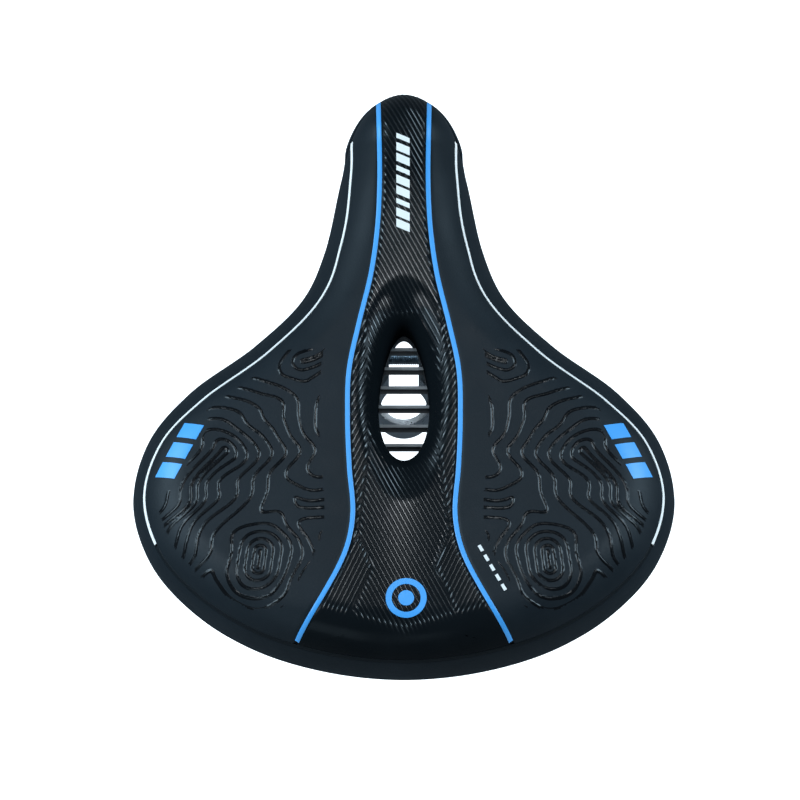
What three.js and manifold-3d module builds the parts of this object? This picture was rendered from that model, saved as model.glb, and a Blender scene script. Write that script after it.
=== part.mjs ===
// Wide sprung comfort saddle for a bicycle, millimetres, +Z up, +Y to the nose, +X to the rider's right.
// Origin: on the seatpost bore's axis, at the lower face of the clamp band.
import * as THREE from 'three';
import { LoftGeometry } from 'three/addons/geometries/LoftGeometry.js';
import { ParametricGeometry } from 'three/addons/geometries/ParametricGeometry.js';
import { mergeVertices } from 'three/addons/utils/BufferGeometryUtils.js';
import Module from 'manifold-3d';

const wasm = await Module();
wasm.setup();

// ---- driving dimensions ----
const GAP = 0.3; // left between any two touching pieces
const SADDLE_LENGTH = 282;
const SADDLE_WIDTH = 250;
const NOSE_SHARE = 0.479; // share of the length that lies ahead of the bore
const EDGE_ROLL = 26; // width of the rounded shoulder inside the outline
const CREST_Z = 103; // top of the seat above the bore
const CREST_RISE = 11.28; // rise of the crest from nose to tail
const NOSE_DROOP = 4;
const DROOP_LENGTH = 65;
const WING_DROP = 8;
const VALLEY_DEPTH = 3.5; // shallow channel between the two rear cheeks
const VALLEY_WIDTH = 27;
const VALLEY_REACH = 40; // it fades in over this much on each side of the bore
const SKIRT_Z = 66; // lower edge of the skirt above the bore
const SKIRT_RISE = 8.46; // and the rise of that edge from nose to tail
const COVER = 2; // cover thickness
const FOAM_CLEARANCE = 0.6; // round the foam, the cover and the gel
const HEM_WIDTH = 9.5;
const HEM = 1.6;
const SHELL_Z = 75; // top of the base shell above the bore
const SHELL = 3; // shell wall
const SHELL_INSET = 5.8; // shell edge inside the outline

const RECESS_DEPTH = 9;
const RECESS_WIDTH = 44;
const RECESS_LENGTH = 112;
const RECESS_FLOOR = 0.35; // share of the recess at full depth
const SLOT_WIDTH = 23;
const SLOT_LENGTH = 63;
const SLOT_Y = -16;
const SLOT_EGG = 0.2; // makes the slot wider towards the tail
const RIB_COUNT = 7;
const RIB_PITCH = 9.2;
const RIB_THICKNESS = 1.6;
const RIB_HEIGHT = 9;
const FIRST_RIB_Y = 9.4;

const STRIPE_WIDTH = 2.2; // blue stripes
const BEAD_WIDTH = 1.4; // white stripes and seam beads
const BEAD_FRONT_Y = 110; // the white stripes run between these two stations
const BEAD_REAR_Y = -66;
const GEL = 6;
const GEL_LENGTH = 84;
const GEL_WIDTH = 60;
const GEL_X = 72;
const GEL_Y = -62;

const BORE = 22.2; // seatpost top
const BAND = 3;
const BAND_HEIGHT = 26;
const EAR_INNER_X = 7;
const CLAMP_BOLT = 8;
const BOLT_AHEAD = 11.9; // cross bolt's axis ahead of the bore's wall
const EAR_RADIUS = 13;
const RAIL_WIRE = 7;
const RAIL_SPACING = 44;
const RAIL_RISE = 13; // rail axis above the cross bolt
const GUIDE_LENGTH = 44;
const GUIDE_HEIGHT = 12;
const GUIDE_CHAMFER = 2;
const GUIDE_BOSS_RADIUS = 12;
const GUIDE_BOSS_SIDES = 24;
const OUTER_GUIDE = 8.5;
const WASHER = 1.6;
const WASHER_RADIUS = 9;
const NUT_SHARE = 0.8; // nut height as a share of its thread
const HEX_SHARE = 1.63; // width across flats as a share of the thread
const HEX = 6;
const THREAD_SIDES = 12;
const SCREW_HEAD_SHARE = 1.6; // head diameter as a share of the thread
const SCREW_HEAD_HEIGHT = 2.4;
const BOLT_END = 2; // thread beyond the nut

const RAIL_STRAIGHT_FRONT_Y = 62;
const RAIL_REAR_Y = -86;
const NOSE_BAR_BACK = 27; // nose bar behind the tip
const NOSE_BAR_Z = 57;
const NOSE_BAR_STRAIGHT = 15;
const RAIL_BEND = 22; // how far the bend's handle reaches along the rail
const NOSE_BEND = 9; // and along the nose bar
const CLIP_WIDTH = 13;
const CLIP = 2.5;
const CLIP_END = 4; // plate beyond each screw's axis
const CLIP_SCREW = 4;
const CLIP_SCREW_ROOM = 0.5; // between a screw's head and the part that wraps the bar

const BRIDGE = 2.5;
const BRIDGE_WAIST = 24;
const CLAMP_PLATE = 7;
const CLAMP_PLATE_WIDTH = 64;
const CLAMP_PLATE_DEPTH = 18;
const BRIDGE_BOLT = 6;
const BRIDGE_BOLT_PITCH = 22;
const SPRING_X = 61;
const SPRING_Y = -66;
const SPRING_RADIUS = 14; // to the middle of the wire
const SPRING_WIRE = 4.2;
const SPRING_TURNS = 4.2;
const SPRING_CLOSED = 0.08; // share of the coil that lies flat at each end
const SPRING_FLATNESS = 0.75;
const SPRING_STEPS = 12; // facets in a turn
const SPRING_SIDES = 6;
const CUP = 1.5;
const CUP_SPIGOT = 5;
const CUP_CLEARANCE = 1.4;
const SPRING_BOLT = 6;
const SPRING_BOSS = 2.2; // boss height under the shell
const BOSS_EDGE = 0.5; // radius of the bosses and of the bridge's ends beyond the cup

// ---- outline tables: share of the length behind the tip, share of the half width ----
const OUTLINE = [
  [0, 0], [0.008, 0.072], [0.03, 0.137], [0.071, 0.192], [0.15, 0.237], [0.274, 0.298],
  [0.356, 0.378], [0.438, 0.558], [0.519, 0.8], [0.601, 0.948], [0.703, 1], [0.805, 0.931],
  [0.886, 0.776], [0.95, 0.552], [0.988, 0.28], [1, 0],
];
const STRIPE_LINE = [
  [-0.05, 0.1], [0.06, 0.094], [0.18, 0.09], [0.262, 0.098], [0.343, 0.122], [0.425, 0.165],
  [0.507, 0.202], [0.59, 0.207], [0.67, 0.2], [0.75, 0.187], [0.81, 0.212], [0.885, 0.294], [0.957, 0.395], [1.05, 0.53],
];
// distance from the outline to the seam, by share of the way round from tip to tail
const SEAM_INSET = [[0, 4], [0.12, 7], [0.27, 11], [0.45, 11.5], [0.54, 8], [0.66, 4.6], [1, 4.6]];

const AROUND = 48; // stations round a full ring
const ROWS = 20; // sections from tip to tail
const COLUMNS = 12; // points across a section
const ROUND = 16;
const RAIL_STEPS = 70;
const RAIL_SIDES = 8;
const FAR = 400; // reach of a cutting tool

// ---- values that follow ----
const NOSE_Y = SADDLE_LENGTH * NOSE_SHARE;
const HALF_WIDTH = SADDLE_WIDTH / 2;
const BOLT_Y = BORE / 2 + BOLT_AHEAD;
const BOLT_Z = BAND_HEIGHT / 2;
const RAIL_Z = BOLT_Z + RAIL_RISE;
const RAIL_X = RAIL_SPACING / 2;
const WIRE_R = RAIL_WIRE / 2;
const NOSE_BAR_Y = NOSE_Y - NOSE_BAR_BACK;
const EAR_OUTER_X = EAR_INNER_X + BAND;
const BAND_R = BORE / 2 + BAND;
const GUIDE_OUTER_X = RAIL_X + GAP + OUTER_GUIDE;
const BRIDGE_Z = RAIL_Z + WIRE_R + GAP;
const SPRING_BASE_Z = BRIDGE_Z + BRIDGE + GAP + CUP + GAP;
const PLATE_TOP_Z = RAIL_Z - GAP;
const FOAM_DEPTH = COVER + FOAM_CLEARANCE;
const BRIDGE_NUT_Z = BRIDGE_Z + BRIDGE + GAP;
const SPRING_NUT_Z = BRIDGE_Z - GAP - SPRING_BOLT * NUT_SHARE;
const SPIGOT_R = SPRING_RADIUS - SPRING_WIRE / 2 - CUP_CLEARANCE;
const CUP_R = SPRING_RADIUS + SPRING_WIRE / 2 + CUP_CLEARANCE;
const BOSS_R = CUP_R + BOSS_EDGE;
const BRIDGE_DEPTH = BOSS_R * 2;
const BRIDGE_WIDTH = (SPRING_X + BOSS_R) * 2;
const CLIP_WRAP_R = WIRE_R + GAP + CLIP;
const CLIP_SCREW_PITCH = 2 * (CLIP_WRAP_R + CLIP_SCREW_ROOM) + CLIP_SCREW * SCREW_HEAD_SHARE;
const CLIP_LENGTH = CLIP_SCREW_PITCH + CLIP_END * 2;
const CLIP_TOP_Z = NOSE_BAR_Z + CLIP_WRAP_R + CLIP;
const CUP_TOP_Z = SHELL_Z - SHELL - SPRING_BOSS - GAP;
const SPRING_TOP_Z = CUP_TOP_Z - CUP - GAP;

// ---- solids ----
// Where a section closes to a point, the triangles with two corners there are left out.
function wholeTriangles(index) {
  const kept = [];
  for (let i = 0; i < index.length; i += 3) {
    const corners = index.slice(i, i + 3);
    if (new Set(corners).size === 3) kept.push(...corners);
  }
  return kept;
}

function toSolid(geometry) {
  const bare = new THREE.BufferGeometry();
  bare.setAttribute('position', geometry.attributes.position);
  bare.setIndex(geometry.index);
  const merged = mergeVertices(bare);
  const vertProperties = new Float32Array(merged.attributes.position.array);
  const triVerts = new Uint32Array(wholeTriangles(merged.index.array));
  return new wasm.Manifold(new wasm.Mesh({ numProp: 3, vertProperties, triVerts }));
}

function toGeometry(solid) {
  const mesh = solid.getMesh();
  const geometry = new THREE.BufferGeometry();
  geometry.setAttribute('position', new THREE.BufferAttribute(mesh.vertProperties, 3));
  geometry.setIndex(new THREE.BufferAttribute(mesh.triVerts, 1));
  geometry.computeVertexNormals();
  return geometry;
}

function joinAll(solids) {
  return solids.reduce((whole, next) => whole.add(next));
}

function shapeOf(points) {
  return new THREE.Shape(points.map(([x, y]) => new THREE.Vector2(x, y)));
}

function extrude(shape, depth) {
  return new THREE.ExtrudeGeometry(shape, { depth, bevelEnabled: false, curveSegments: ROUND / 2 });
}

// A shape drawn in X and Y, standing from z0 to z1.
function prism(shape, z0, z1) {
  return toSolid(extrude(shape, z1 - z0).translate(0, 0, z0));
}

// A shape drawn in Y and Z, running from x0 to x1.
function across(shape, x0, x1) {
  return toSolid(extrude(shape, x1 - x0).rotateY(Math.PI / 2).rotateX(Math.PI / 2).translate(x0, 0, 0));
}

function box(x0, x1, y0, y1, z0, z1) {
  const geometry = new THREE.BoxGeometry(x1 - x0, y1 - y0, z1 - z0);
  return toSolid(geometry.translate((x0 + x1) / 2, (y0 + y1) / 2, (z0 + z1) / 2));
}

function rod(radius, length, sides = ROUND) {
  return new THREE.CylinderGeometry(radius, radius, length, sides);
}

function upright(radius, x, y, z0, z1, sides = ROUND) {
  return toSolid(rod(radius, z1 - z0, sides).rotateX(Math.PI / 2).translate(x, y, (z0 + z1) / 2));
}

function crosswise(radius, x0, x1, y, z, sides = ROUND) {
  return toSolid(rod(radius, x1 - x0, sides).rotateZ(Math.PI / 2).translate((x0 + x1) / 2, y, z));
}

function lengthwise(radius, x, y0, y1, z, sides = ROUND) {
  return toSolid(rod(radius, y1 - y0, sides).translate(x, (y0 + y1) / 2, z));
}

function turned(profile, x, y) {
  const points = profile.map(([r, z]) => new THREE.Vector2(r, z));
  return toSolid(new THREE.LatheGeometry(points, ROUND).rotateX(Math.PI / 2).translate(x, y, 0));
}

function ellipse(x, y, halfX, halfY) {
  const shape = new THREE.Shape();
  shape.absellipse(x, y, halfX, halfY, 0, Math.PI * 2);
  return shape;
}

function tube(path, radius, steps, sides) {
  const section = new THREE.Shape();
  section.absarc(0, 0, radius, 0, Math.PI * 2);
  const settings = { steps, extrudePath: path, curveSegments: sides / 2, bevelEnabled: false };
  return toSolid(new THREE.ExtrudeGeometry(section, settings));
}

// ---- the seat's form ----
function tableAt(table, at) {
  const next = Math.max(1, table.findIndex(([key]) => key >= at));
  const [k0, v0] = table[next - 1];
  const [k1, v1] = table[next];
  return v0 + ((v1 - v0) * (at - k0)) / (k1 - k0);
}

function smooth(low, high, value) {
  return THREE.MathUtils.smoothstep(value, low, high);
}

function crestZ(y) {
  const droop = Math.max(0, (y - NOSE_Y + DROOP_LENGTH) / DROOP_LENGTH);
  return CREST_Z - (CREST_RISE * y) / SADDLE_LENGTH - NOSE_DROOP * droop * droop;
}

function skirtZ(y) {
  return SKIRT_Z - (SKIRT_RISE * y) / SADDLE_LENGTH;
}

function recess(x, y) {
  const reach = Math.hypot(x / (RECESS_WIDTH / 2), (y - SLOT_Y) / (RECESS_LENGTH / 2));
  return RECESS_DEPTH * (1 - smooth(RECESS_FLOOR, 1, reach));
}

function topZ(x, y) {
  const wing = WING_DROP * (x / HALF_WIDTH) ** 2;
  const behind = 1 - smooth(-VALLEY_REACH, VALLEY_REACH, y);
  const valley = VALLEY_DEPTH * Math.exp(-((x / VALLEY_WIDTH) ** 2)) * behind;
  return crestZ(y) - wing - valley - recess(x, y);
}

// The right half of the outline from tip to tail, then its mirror image back to the tip.
function outlineRing() {
  const corner = ([s, w], side) => new THREE.Vector3(side * w * HALF_WIDTH, NOSE_Y - s * SADDLE_LENGTH, 0);
  const right = OUTLINE.map((pair) => corner(pair, 1));
  const left = OUTLINE.slice(1, -1).reverse().map((pair) => corner(pair, -1));
  const curve = new THREE.CatmullRomCurve3([...right, ...left], true, 'centripetal');
  const half = AROUND / 2;
  const points = [];
  for (let i = 0; i <= half; i += 1) points.push(curve.getPointAt(i / AROUND));
  points[0].x = 0;
  points[half].x = 0;
  for (let i = half - 1; i > 0; i -= 1) points.push(new THREE.Vector3(-points[i].x, points[i].y, 0));
  return points;
}

const RING = outlineRing();

// The ring drawn in by a distance, which may change round it.
function insetRing(distance) {
  return RING.map((point, i) => {
    const before = RING[(i + AROUND - 1) % AROUND];
    const after = RING[(i + 1) % AROUND];
    const along = after.clone().sub(before).normalize();
    const share = Math.min(i, AROUND - i) / (AROUND / 2);
    const step = typeof distance === 'number' ? distance : distance(share);
    return new THREE.Vector3(point.x + along.y * step, point.y - along.x * step, 0);
  });
}

// The slot's edge, in the direction of each outline point, let out by a distance.
function slotRing(out) {
  return RING.map((point) => {
    const angle = Math.atan2(point.y - SLOT_Y, point.x);
    const halfX = (SLOT_WIDTH / 2) * (1 - SLOT_EGG * Math.sin(angle)) + out;
    return new THREE.Vector3(halfX * Math.cos(angle), SLOT_Y + (SLOT_LENGTH / 2 + out) * Math.sin(angle), 0);
  });
}

function distanceToRing(ring, x, y) {
  const at = new THREE.Vector3(x, y, 0);
  const nearest = new THREE.Vector3();
  const edge = new THREE.Line3();
  let best = Infinity;
  ring.forEach((point, i) => {
    edge.set(point, ring[(i + 1) % ring.length]);
    edge.closestPointToPoint(at, true, nearest);
    best = Math.min(best, nearest.distanceTo(at));
  });
  return best;
}

function halfWidthAt(ring, y) {
  const next = Math.max(1, ring.findIndex((point) => point.y <= y));
  const [ahead, behind] = [ring[next - 1], ring[next]];
  return THREE.MathUtils.mapLinear(y, ahead.y, behind.y, ahead.x, behind.x);
}

// The seat's solid body, a depth below its surface, as sections from tip to tail.
function body(depth, edgeZ, bottomZ) {
  const ring = insetRing(depth);
  const [tip, tail] = [ring[0].y, ring[AROUND / 2].y];
  const sections = Array.from({ length: ROWS + 1 }, (_, row) => {
    const y = THREE.MathUtils.lerp(tip, tail, (1 - Math.cos((Math.PI * row) / ROWS)) / 2);
    const halfWidth = row % ROWS === 0 ? 0 : halfWidthAt(ring, y);
    const top = Array.from({ length: COLUMNS + 1 }, (__, column) => {
      const x = halfWidth * Math.cos((Math.PI * column) / COLUMNS);
      const edge = halfWidth === 0 || column % COLUMNS === 0;
      const shoulder = edge ? 0 : Math.min(1, distanceToRing(ring, x, y) / EDGE_ROLL);
      const roll = Math.sqrt(1 - (1 - shoulder) ** 2);
      const base = edgeZ(y);
      return new THREE.Vector3(x, y, base + (topZ(x, y) - depth - base) * roll);
    });
    const bottom = [-halfWidth, halfWidth].map((x) => new THREE.Vector3(x, y, bottomZ(y)));
    return [...top, ...bottom];
  });
  return toSolid(new LoftGeometry(sections));
}

function rowAt(ring, height) {
  return ring.map((point) => new THREE.Vector3(point.x, point.y, height(point.y)));
}

// A closed solid round the slot: each row is a ring of points, and the rows close on themselves.
function ringSolid(rows) {
  const place = (u, v, target) => {
    const row = rows[Math.round(v * rows.length) % rows.length];
    target.copy(row[Math.round(u * AROUND) % AROUND]);
  };
  return toSolid(new ParametricGeometry(place, AROUND, rows.length));
}

function lipZ(y) {
  return skirtZ(y) + HEM + GAP;
}

function ringPrism(ring, z0 = 0, z1 = FAR) {
  return prism(shapeOf(ring.map((point) => [point.x, point.y])), z0, z1);
}

// Skin and the lining of the relief slot, open below.
function coverSolid() {
  const hemTop = (y) => skirtZ(y) + HEM;
  const outer = body(0, skirtZ, skirtZ).subtract(ringPrism(slotRing(0)));
  const inner = body(COVER, hemTop, () => 0).subtract(ringPrism(slotRing(COVER), SHELL_Z + GAP));
  return outer.subtract(inner);
}

// The turned-under edge of the cover, which closes off the foam and the shell's lip from below.
function hemSolid() {
  const hemTop = (y) => skirtZ(y) + HEM;
  const outer = insetRing(COVER / 2);
  const inner = insetRing(HEM_WIDTH);
  return ringSolid([
    rowAt(outer, hemTop), rowAt(outer, skirtZ), rowAt(inner, skirtZ), rowAt(inner, hemTop),
  ]);
}

// The hem and the shell's lip are cut back where the nose clip passes through them.
function clipRoom() {
  const halfX = CLIP_WIDTH / 2 + GAP;
  const halfY = CLIP_LENGTH / 2 + GAP;
  return box(-halfX, halfX, NOSE_BAR_Y - halfY, NOSE_BAR_Y + halfY, 0, CLIP_TOP_Z + GAP);
}

function foamSolid() {
  const edge = insetRing(SHELL_INSET - GAP);
  return body(FOAM_DEPTH, lipZ, lipZ)
    .subtract(ringPrism(edge, 0, SHELL_Z + GAP))
    .subtract(ringPrism(slotRing(FOAM_DEPTH)));
}

function shellPlate() {
  const under = () => SHELL_Z - SHELL;
  const top = () => SHELL_Z;
  return ringSolid([
    rowAt(slotRing(0), under),
    rowAt(slotRing(0), top),
    rowAt(insetRing(SHELL_INSET), top),
    rowAt(insetRing(SHELL_INSET), lipZ),
    rowAt(insetRing(SHELL_INSET + SHELL), lipZ),
    rowAt(insetRing(SHELL_INSET + SHELL), under),
  ]);
}

// ---- cover pieces, cut from one skin ----
function seamPrism(inwards) {
  return ringPrism(insetRing((share) => tableAt(SEAM_INSET, share) + inwards));
}

// Between the two stripes, let out by a distance on each side.
function centrePrism(out) {
  const right = STRIPE_LINE.map(([s, w]) => new THREE.Vector2(w * HALF_WIDTH, NOSE_Y - s * SADDLE_LENGTH));
  const line = new THREE.SplineCurve(right).getPoints(STRIPE_LINE.length + 5);
  const points = line.map(({ x, y }) => [x + out, y]);
  const mirrored = [...points].reverse().map(([x, y]) => [-x, y]);
  return prism(shapeOf([...points, ...mirrored]), 0, FAR);
}

function sideHalf(side) {
  return side > 0 ? box(0, FAR, -FAR, FAR, -FAR, FAR) : box(-FAR, 0, -FAR, FAR, -FAR, FAR);
}

function coverPieces() {
  const cover = coverSolid();
  const top = cover.intersect(seamPrism(BEAD_WIDTH / 2 + GAP));
  const bead = cover.intersect(seamPrism(-BEAD_WIDTH / 2)).subtract(seamPrism(BEAD_WIDTH / 2));
  const stripes = top.intersect(centrePrism(STRIPE_WIDTH / 2)).subtract(centrePrism(-STRIPE_WIDTH / 2));
  const wings = top.subtract(centrePrism(STRIPE_WIDTH / 2 + GAP));
  const between = box(-FAR, FAR, BEAD_REAR_Y, BEAD_FRONT_Y, -FAR, FAR);
  return {
    side_skirt: cover.subtract(seamPrism(-BEAD_WIDTH / 2 - GAP)).add(hemSolid().subtract(clipRoom())),
    centre_panel: top.intersect(centrePrism(-STRIPE_WIDTH / 2 - GAP)),
    wing_panel: (side) => wings.intersect(sideHalf(side)),
    blue_stripe: (side) => stripes.intersect(sideHalf(side)),
    white_stripe: (side) => bead.intersect(between).intersect(sideHalf(side)),
    nose_seam_bead: bead.intersect(box(-FAR, FAR, BEAD_FRONT_Y + GAP, FAR, -FAR, FAR)),
    rear_seam_bead: bead.intersect(box(-FAR, FAR, -FAR, BEAD_REAR_Y - GAP, -FAR, FAR)),
  };
}

// ---- padding ----
function gelPrism(side, out) {
  return prism(ellipse(side * GEL_X, GEL_Y, GEL_WIDTH / 2 + out, GEL_LENGTH / 2 + out), SHELL_Z, FAR);
}

function gelPad(side) {
  const slab = body(FOAM_DEPTH, lipZ, lipZ).intersect(gelPrism(side, 0));
  return slab.subtract(body(FOAM_DEPTH + GEL, lipZ, lipZ));
}

function foamPad() {
  const floor = body(FOAM_DEPTH + GEL + FOAM_CLEARANCE, lipZ, lipZ);
  const pockets = [1, -1].map((side) => gelPrism(side, FOAM_CLEARANCE).subtract(floor));
  return pockets.reduce((foam, pocket) => foam.subtract(pocket), foamSolid());
}

// ---- base shell ----
function ribs() {
  const places = Array.from({ length: RIB_COUNT }, (_, i) => FIRST_RIB_Y - i * RIB_PITCH);
  const reach = SLOT_WIDTH / 2 + SHELL;
  return places.map((y) => {
    const half = RIB_THICKNESS / 2;
    return box(-reach, reach, y - half, y + half, SHELL_Z - RIB_HEIGHT, SHELL_Z);
  });
}

function slotWall() {
  return ringPrism(slotRing(SHELL), SHELL_Z - RIB_HEIGHT, SHELL_Z).subtract(ringPrism(slotRing(0)));
}

function baseShell() {
  const slotCore = ringPrism(slotRing(SHELL / 2));
  const grille = joinAll(ribs()).intersect(slotCore);
  const noseBoss = box(-CLIP_WIDTH / 2, CLIP_WIDTH / 2, NOSE_BAR_Y - CLIP_LENGTH / 2,
    NOSE_BAR_Y + CLIP_LENGTH / 2, CLIP_TOP_Z + GAP, SHELL_Z - SHELL / 2);
  const springBosses = [1, -1].map((side) =>
    upright(BOSS_R, side * SPRING_X, SPRING_Y, CUP_TOP_Z + GAP, SHELL_Z - SHELL / 2));
  const holes = [1, -1].map((side) =>
    upright(SPRING_BOLT / 2 + GAP, side * SPRING_X, SPRING_Y, 0, SHELL_Z - SHELL / 2));
  const clipHoles = [1, -1].map((end) =>
    upright(CLIP_SCREW / 2 + GAP, 0, clipScrewY(end), 0, SHELL_Z - SHELL / 2));
  const plate = shellPlate().subtract(clipRoom());
  const body = joinAll([plate, slotWall(), grille, noseBoss, ...springBosses]);
  return [...holes, ...clipHoles].reduce((shell, hole) => shell.subtract(hole), body);
}

// ---- nose clip ----
function clipScrewY(end) {
  return NOSE_BAR_Y + (end * CLIP_SCREW_PITCH) / 2;
}

function noseClip() {
  const half = CLIP_WIDTH / 2;
  const plateZ = CLIP_TOP_Z - CLIP;
  const parts = [
    crosswise(CLIP_WRAP_R, -half, half, NOSE_BAR_Y, NOSE_BAR_Z),
    box(-half, half, NOSE_BAR_Y - CLIP_WRAP_R, NOSE_BAR_Y + CLIP_WRAP_R, NOSE_BAR_Z, CLIP_TOP_Z),
    box(-half, half, NOSE_BAR_Y - CLIP_LENGTH / 2, NOSE_BAR_Y + CLIP_LENGTH / 2, plateZ, CLIP_TOP_Z),
  ];
  const cuts = [
    crosswise(WIRE_R + GAP, -FAR, FAR, NOSE_BAR_Y, NOSE_BAR_Z),
    ...[1, -1].map((end) => upright(CLIP_SCREW / 2 + GAP, 0, clipScrewY(end), 0, FAR)),
  ];
  return cuts.reduce((clip, cut) => clip.subtract(cut), joinAll(parts));
}

function clipScrew(end) {
  return panScrew(CLIP_SCREW, 0, clipScrewY(end), CLIP_TOP_Z - CLIP - GAP, SHELL_Z - SHELL / 2 - GAP);
}

// ---- rails ----
function railPath() {
  const point = (side, x, y, z) => new THREE.Vector3(side * x, y, z);
  const bend = (side) => [
    point(side, RAIL_X, RAIL_STRAIGHT_FRONT_Y, RAIL_Z),
    point(side, RAIL_X, RAIL_STRAIGHT_FRONT_Y + RAIL_BEND, RAIL_Z),
    point(side, NOSE_BAR_STRAIGHT / 2 + NOSE_BEND, NOSE_BAR_Y, NOSE_BAR_Z),
    point(side, NOSE_BAR_STRAIGHT / 2, NOSE_BAR_Y, NOSE_BAR_Z),
  ];
  const end = (side) => point(side, RAIL_X, RAIL_REAR_Y, RAIL_Z);
  const path = new THREE.CurvePath();
  const left = bend(-1);
  const right = bend(1).reverse();
  path.add(new THREE.LineCurve3(end(-1), left[0]));
  path.add(new THREE.CubicBezierCurve3(...left));
  path.add(new THREE.LineCurve3(left[3], right[0]));
  path.add(new THREE.CubicBezierCurve3(...right));
  path.add(new THREE.LineCurve3(right[3], end(1)));
  return path;
}

// ---- spring bridge ----
function bridgeOutline() {
  const halfX = BRIDGE_WIDTH / 2;
  const padR = BRIDGE_DEPTH / 2;
  const waist = BRIDGE_WAIST / 2;
  const shape = new THREE.Shape();
  shape.moveTo(-halfX + padR, SPRING_Y - padR);
  shape.bezierCurveTo(-padR, SPRING_Y - padR, -padR, SPRING_Y - waist, 0, SPRING_Y - waist);
  shape.bezierCurveTo(padR, SPRING_Y - waist, padR, SPRING_Y - padR, halfX - padR, SPRING_Y - padR);
  shape.absarc(halfX - padR, SPRING_Y, padR, -Math.PI / 2, Math.PI / 2, false);
  shape.bezierCurveTo(padR, SPRING_Y + padR, padR, SPRING_Y + waist, 0, SPRING_Y + waist);
  shape.bezierCurveTo(-padR, SPRING_Y + waist, -padR, SPRING_Y + padR, -halfX + padR, SPRING_Y + padR);
  shape.absarc(-halfX + padR, SPRING_Y, padR, Math.PI / 2, Math.PI * 1.5, false);
  return shape;
}

function bridgeHoles() {
  return [1, -1].flatMap((side) => [
    upright(BRIDGE_BOLT / 2 + GAP, (side * BRIDGE_BOLT_PITCH) / 2, SPRING_Y, 0, FAR),
    upright(SPRING_BOLT / 2 + GAP, side * SPRING_X, SPRING_Y, 0, FAR),
  ]);
}

function springBridge() {
  const plate = prism(bridgeOutline(), BRIDGE_Z, BRIDGE_Z + BRIDGE);
  return bridgeHoles().reduce((bridge, hole) => bridge.subtract(hole), plate);
}

function railClampPlate() {
  const halfX = CLAMP_PLATE_WIDTH / 2;
  const halfY = CLAMP_PLATE_DEPTH / 2;
  const lowZ = PLATE_TOP_Z - CLAMP_PLATE;
  const plate = box(-halfX, halfX, SPRING_Y - halfY, SPRING_Y + halfY, lowZ, PLATE_TOP_Z);
  const grooves = [1, -1].map((side) => lengthwise(WIRE_R + GAP, side * RAIL_X, -FAR, FAR, RAIL_Z));
  const cuts = [...grooves, ...bridgeHoles()];
  return cuts.reduce((whole, cut) => whole.subtract(cut), plate);
}

// A flat-headed screw standing upright: the head lies beyond seatZ, on the side away from the tip.
function panScrew(size, x, y, seatZ, tipZ) {
  const away = Math.sign(seatZ - tipZ);
  const head = [seatZ, seatZ + away * SCREW_HEAD_HEIGHT].sort((a, b) => a - b);
  const shank = [seatZ + away * GAP, tipZ].sort((a, b) => a - b);
  return joinAll([
    upright((size * SCREW_HEAD_SHARE) / 2, x, y, ...head),
    upright(size / 2, x, y, ...shank, THREAD_SIDES),
  ]);
}

// A hexagon-headed bolt standing upright, its head below.
function uprightBolt(size, x, y, headTopZ, topZ) {
  return joinAll([
    upright(hexRadius(size), x, y, headTopZ - size * NUT_SHARE, headTopZ, HEX),
    upright(size / 2, x, y, headTopZ - GAP, topZ, THREAD_SIDES),
  ]);
}

function hexRadius(size) {
  return (size * HEX_SHARE) / 2 / Math.cos(Math.PI / 6);
}

function uprightNut(size, x, y, z) {
  const nut = upright(hexRadius(size), x, y, z, z + size * NUT_SHARE, HEX);
  return nut.subtract(upright(size / 2 + GAP, x, y, 0, FAR, THREAD_SIDES));
}

function bridgeBolt(side) {
  const headTop = PLATE_TOP_Z - CLAMP_PLATE - GAP;
  const top = BRIDGE_NUT_Z + BRIDGE_BOLT;
  return uprightBolt(BRIDGE_BOLT, (side * BRIDGE_BOLT_PITCH) / 2, SPRING_Y, headTop, top);
}

function bridgeNut(side) {
  return uprightNut(BRIDGE_BOLT, (side * BRIDGE_BOLT_PITCH) / 2, SPRING_Y, BRIDGE_NUT_Z);
}

// ---- springs and their cups ----
class Coil extends THREE.Curve {
  constructor(x, y, z0, z1) {
    super();
    this.centre = new THREE.Vector3(x, y, z0);
    this.rise = z1 - z0;
  }

  getPoint(t, target = new THREE.Vector3()) {
    const angle = t * SPRING_TURNS * Math.PI * 2;
    const middle = smooth(SPRING_CLOSED, 1 - SPRING_CLOSED, t);
    const height = THREE.MathUtils.lerp(t, middle, SPRING_FLATNESS) * this.rise;
    target.set(SPRING_RADIUS * Math.cos(angle), SPRING_RADIUS * Math.sin(angle), height);
    return target.add(this.centre);
  }
}

function coilSpring(side) {
  const half = SPRING_WIRE / 2;
  const path = new Coil(side * SPRING_X, SPRING_Y, SPRING_BASE_Z + half, SPRING_TOP_Z - half);
  return tube(path, half, Math.round(SPRING_TURNS * SPRING_STEPS), SPRING_SIDES);
}

// A cup's profile: flange on the plate, spigot inside the coil; `up` is 1 below the spring and -1 above.
function cup(side, z, up) {
  const holeR = SPRING_BOLT / 2 + GAP;
  const profile = [
    [holeR, z], [CUP_R, z], [CUP_R, z + up * CUP], [SPIGOT_R, z + up * CUP],
    [SPIGOT_R - CUP, z + up * (CUP + CUP_SPIGOT)], [holeR, z + up * (CUP + CUP_SPIGOT)], [holeR, z],
  ];
  return turned(up > 0 ? profile : profile.reverse(), side * SPRING_X, SPRING_Y);
}

function lowerCup(side) {
  return cup(side, BRIDGE_NUT_Z, 1);
}

function upperCup(side) {
  return cup(side, CUP_TOP_Z, -1);
}

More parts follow.
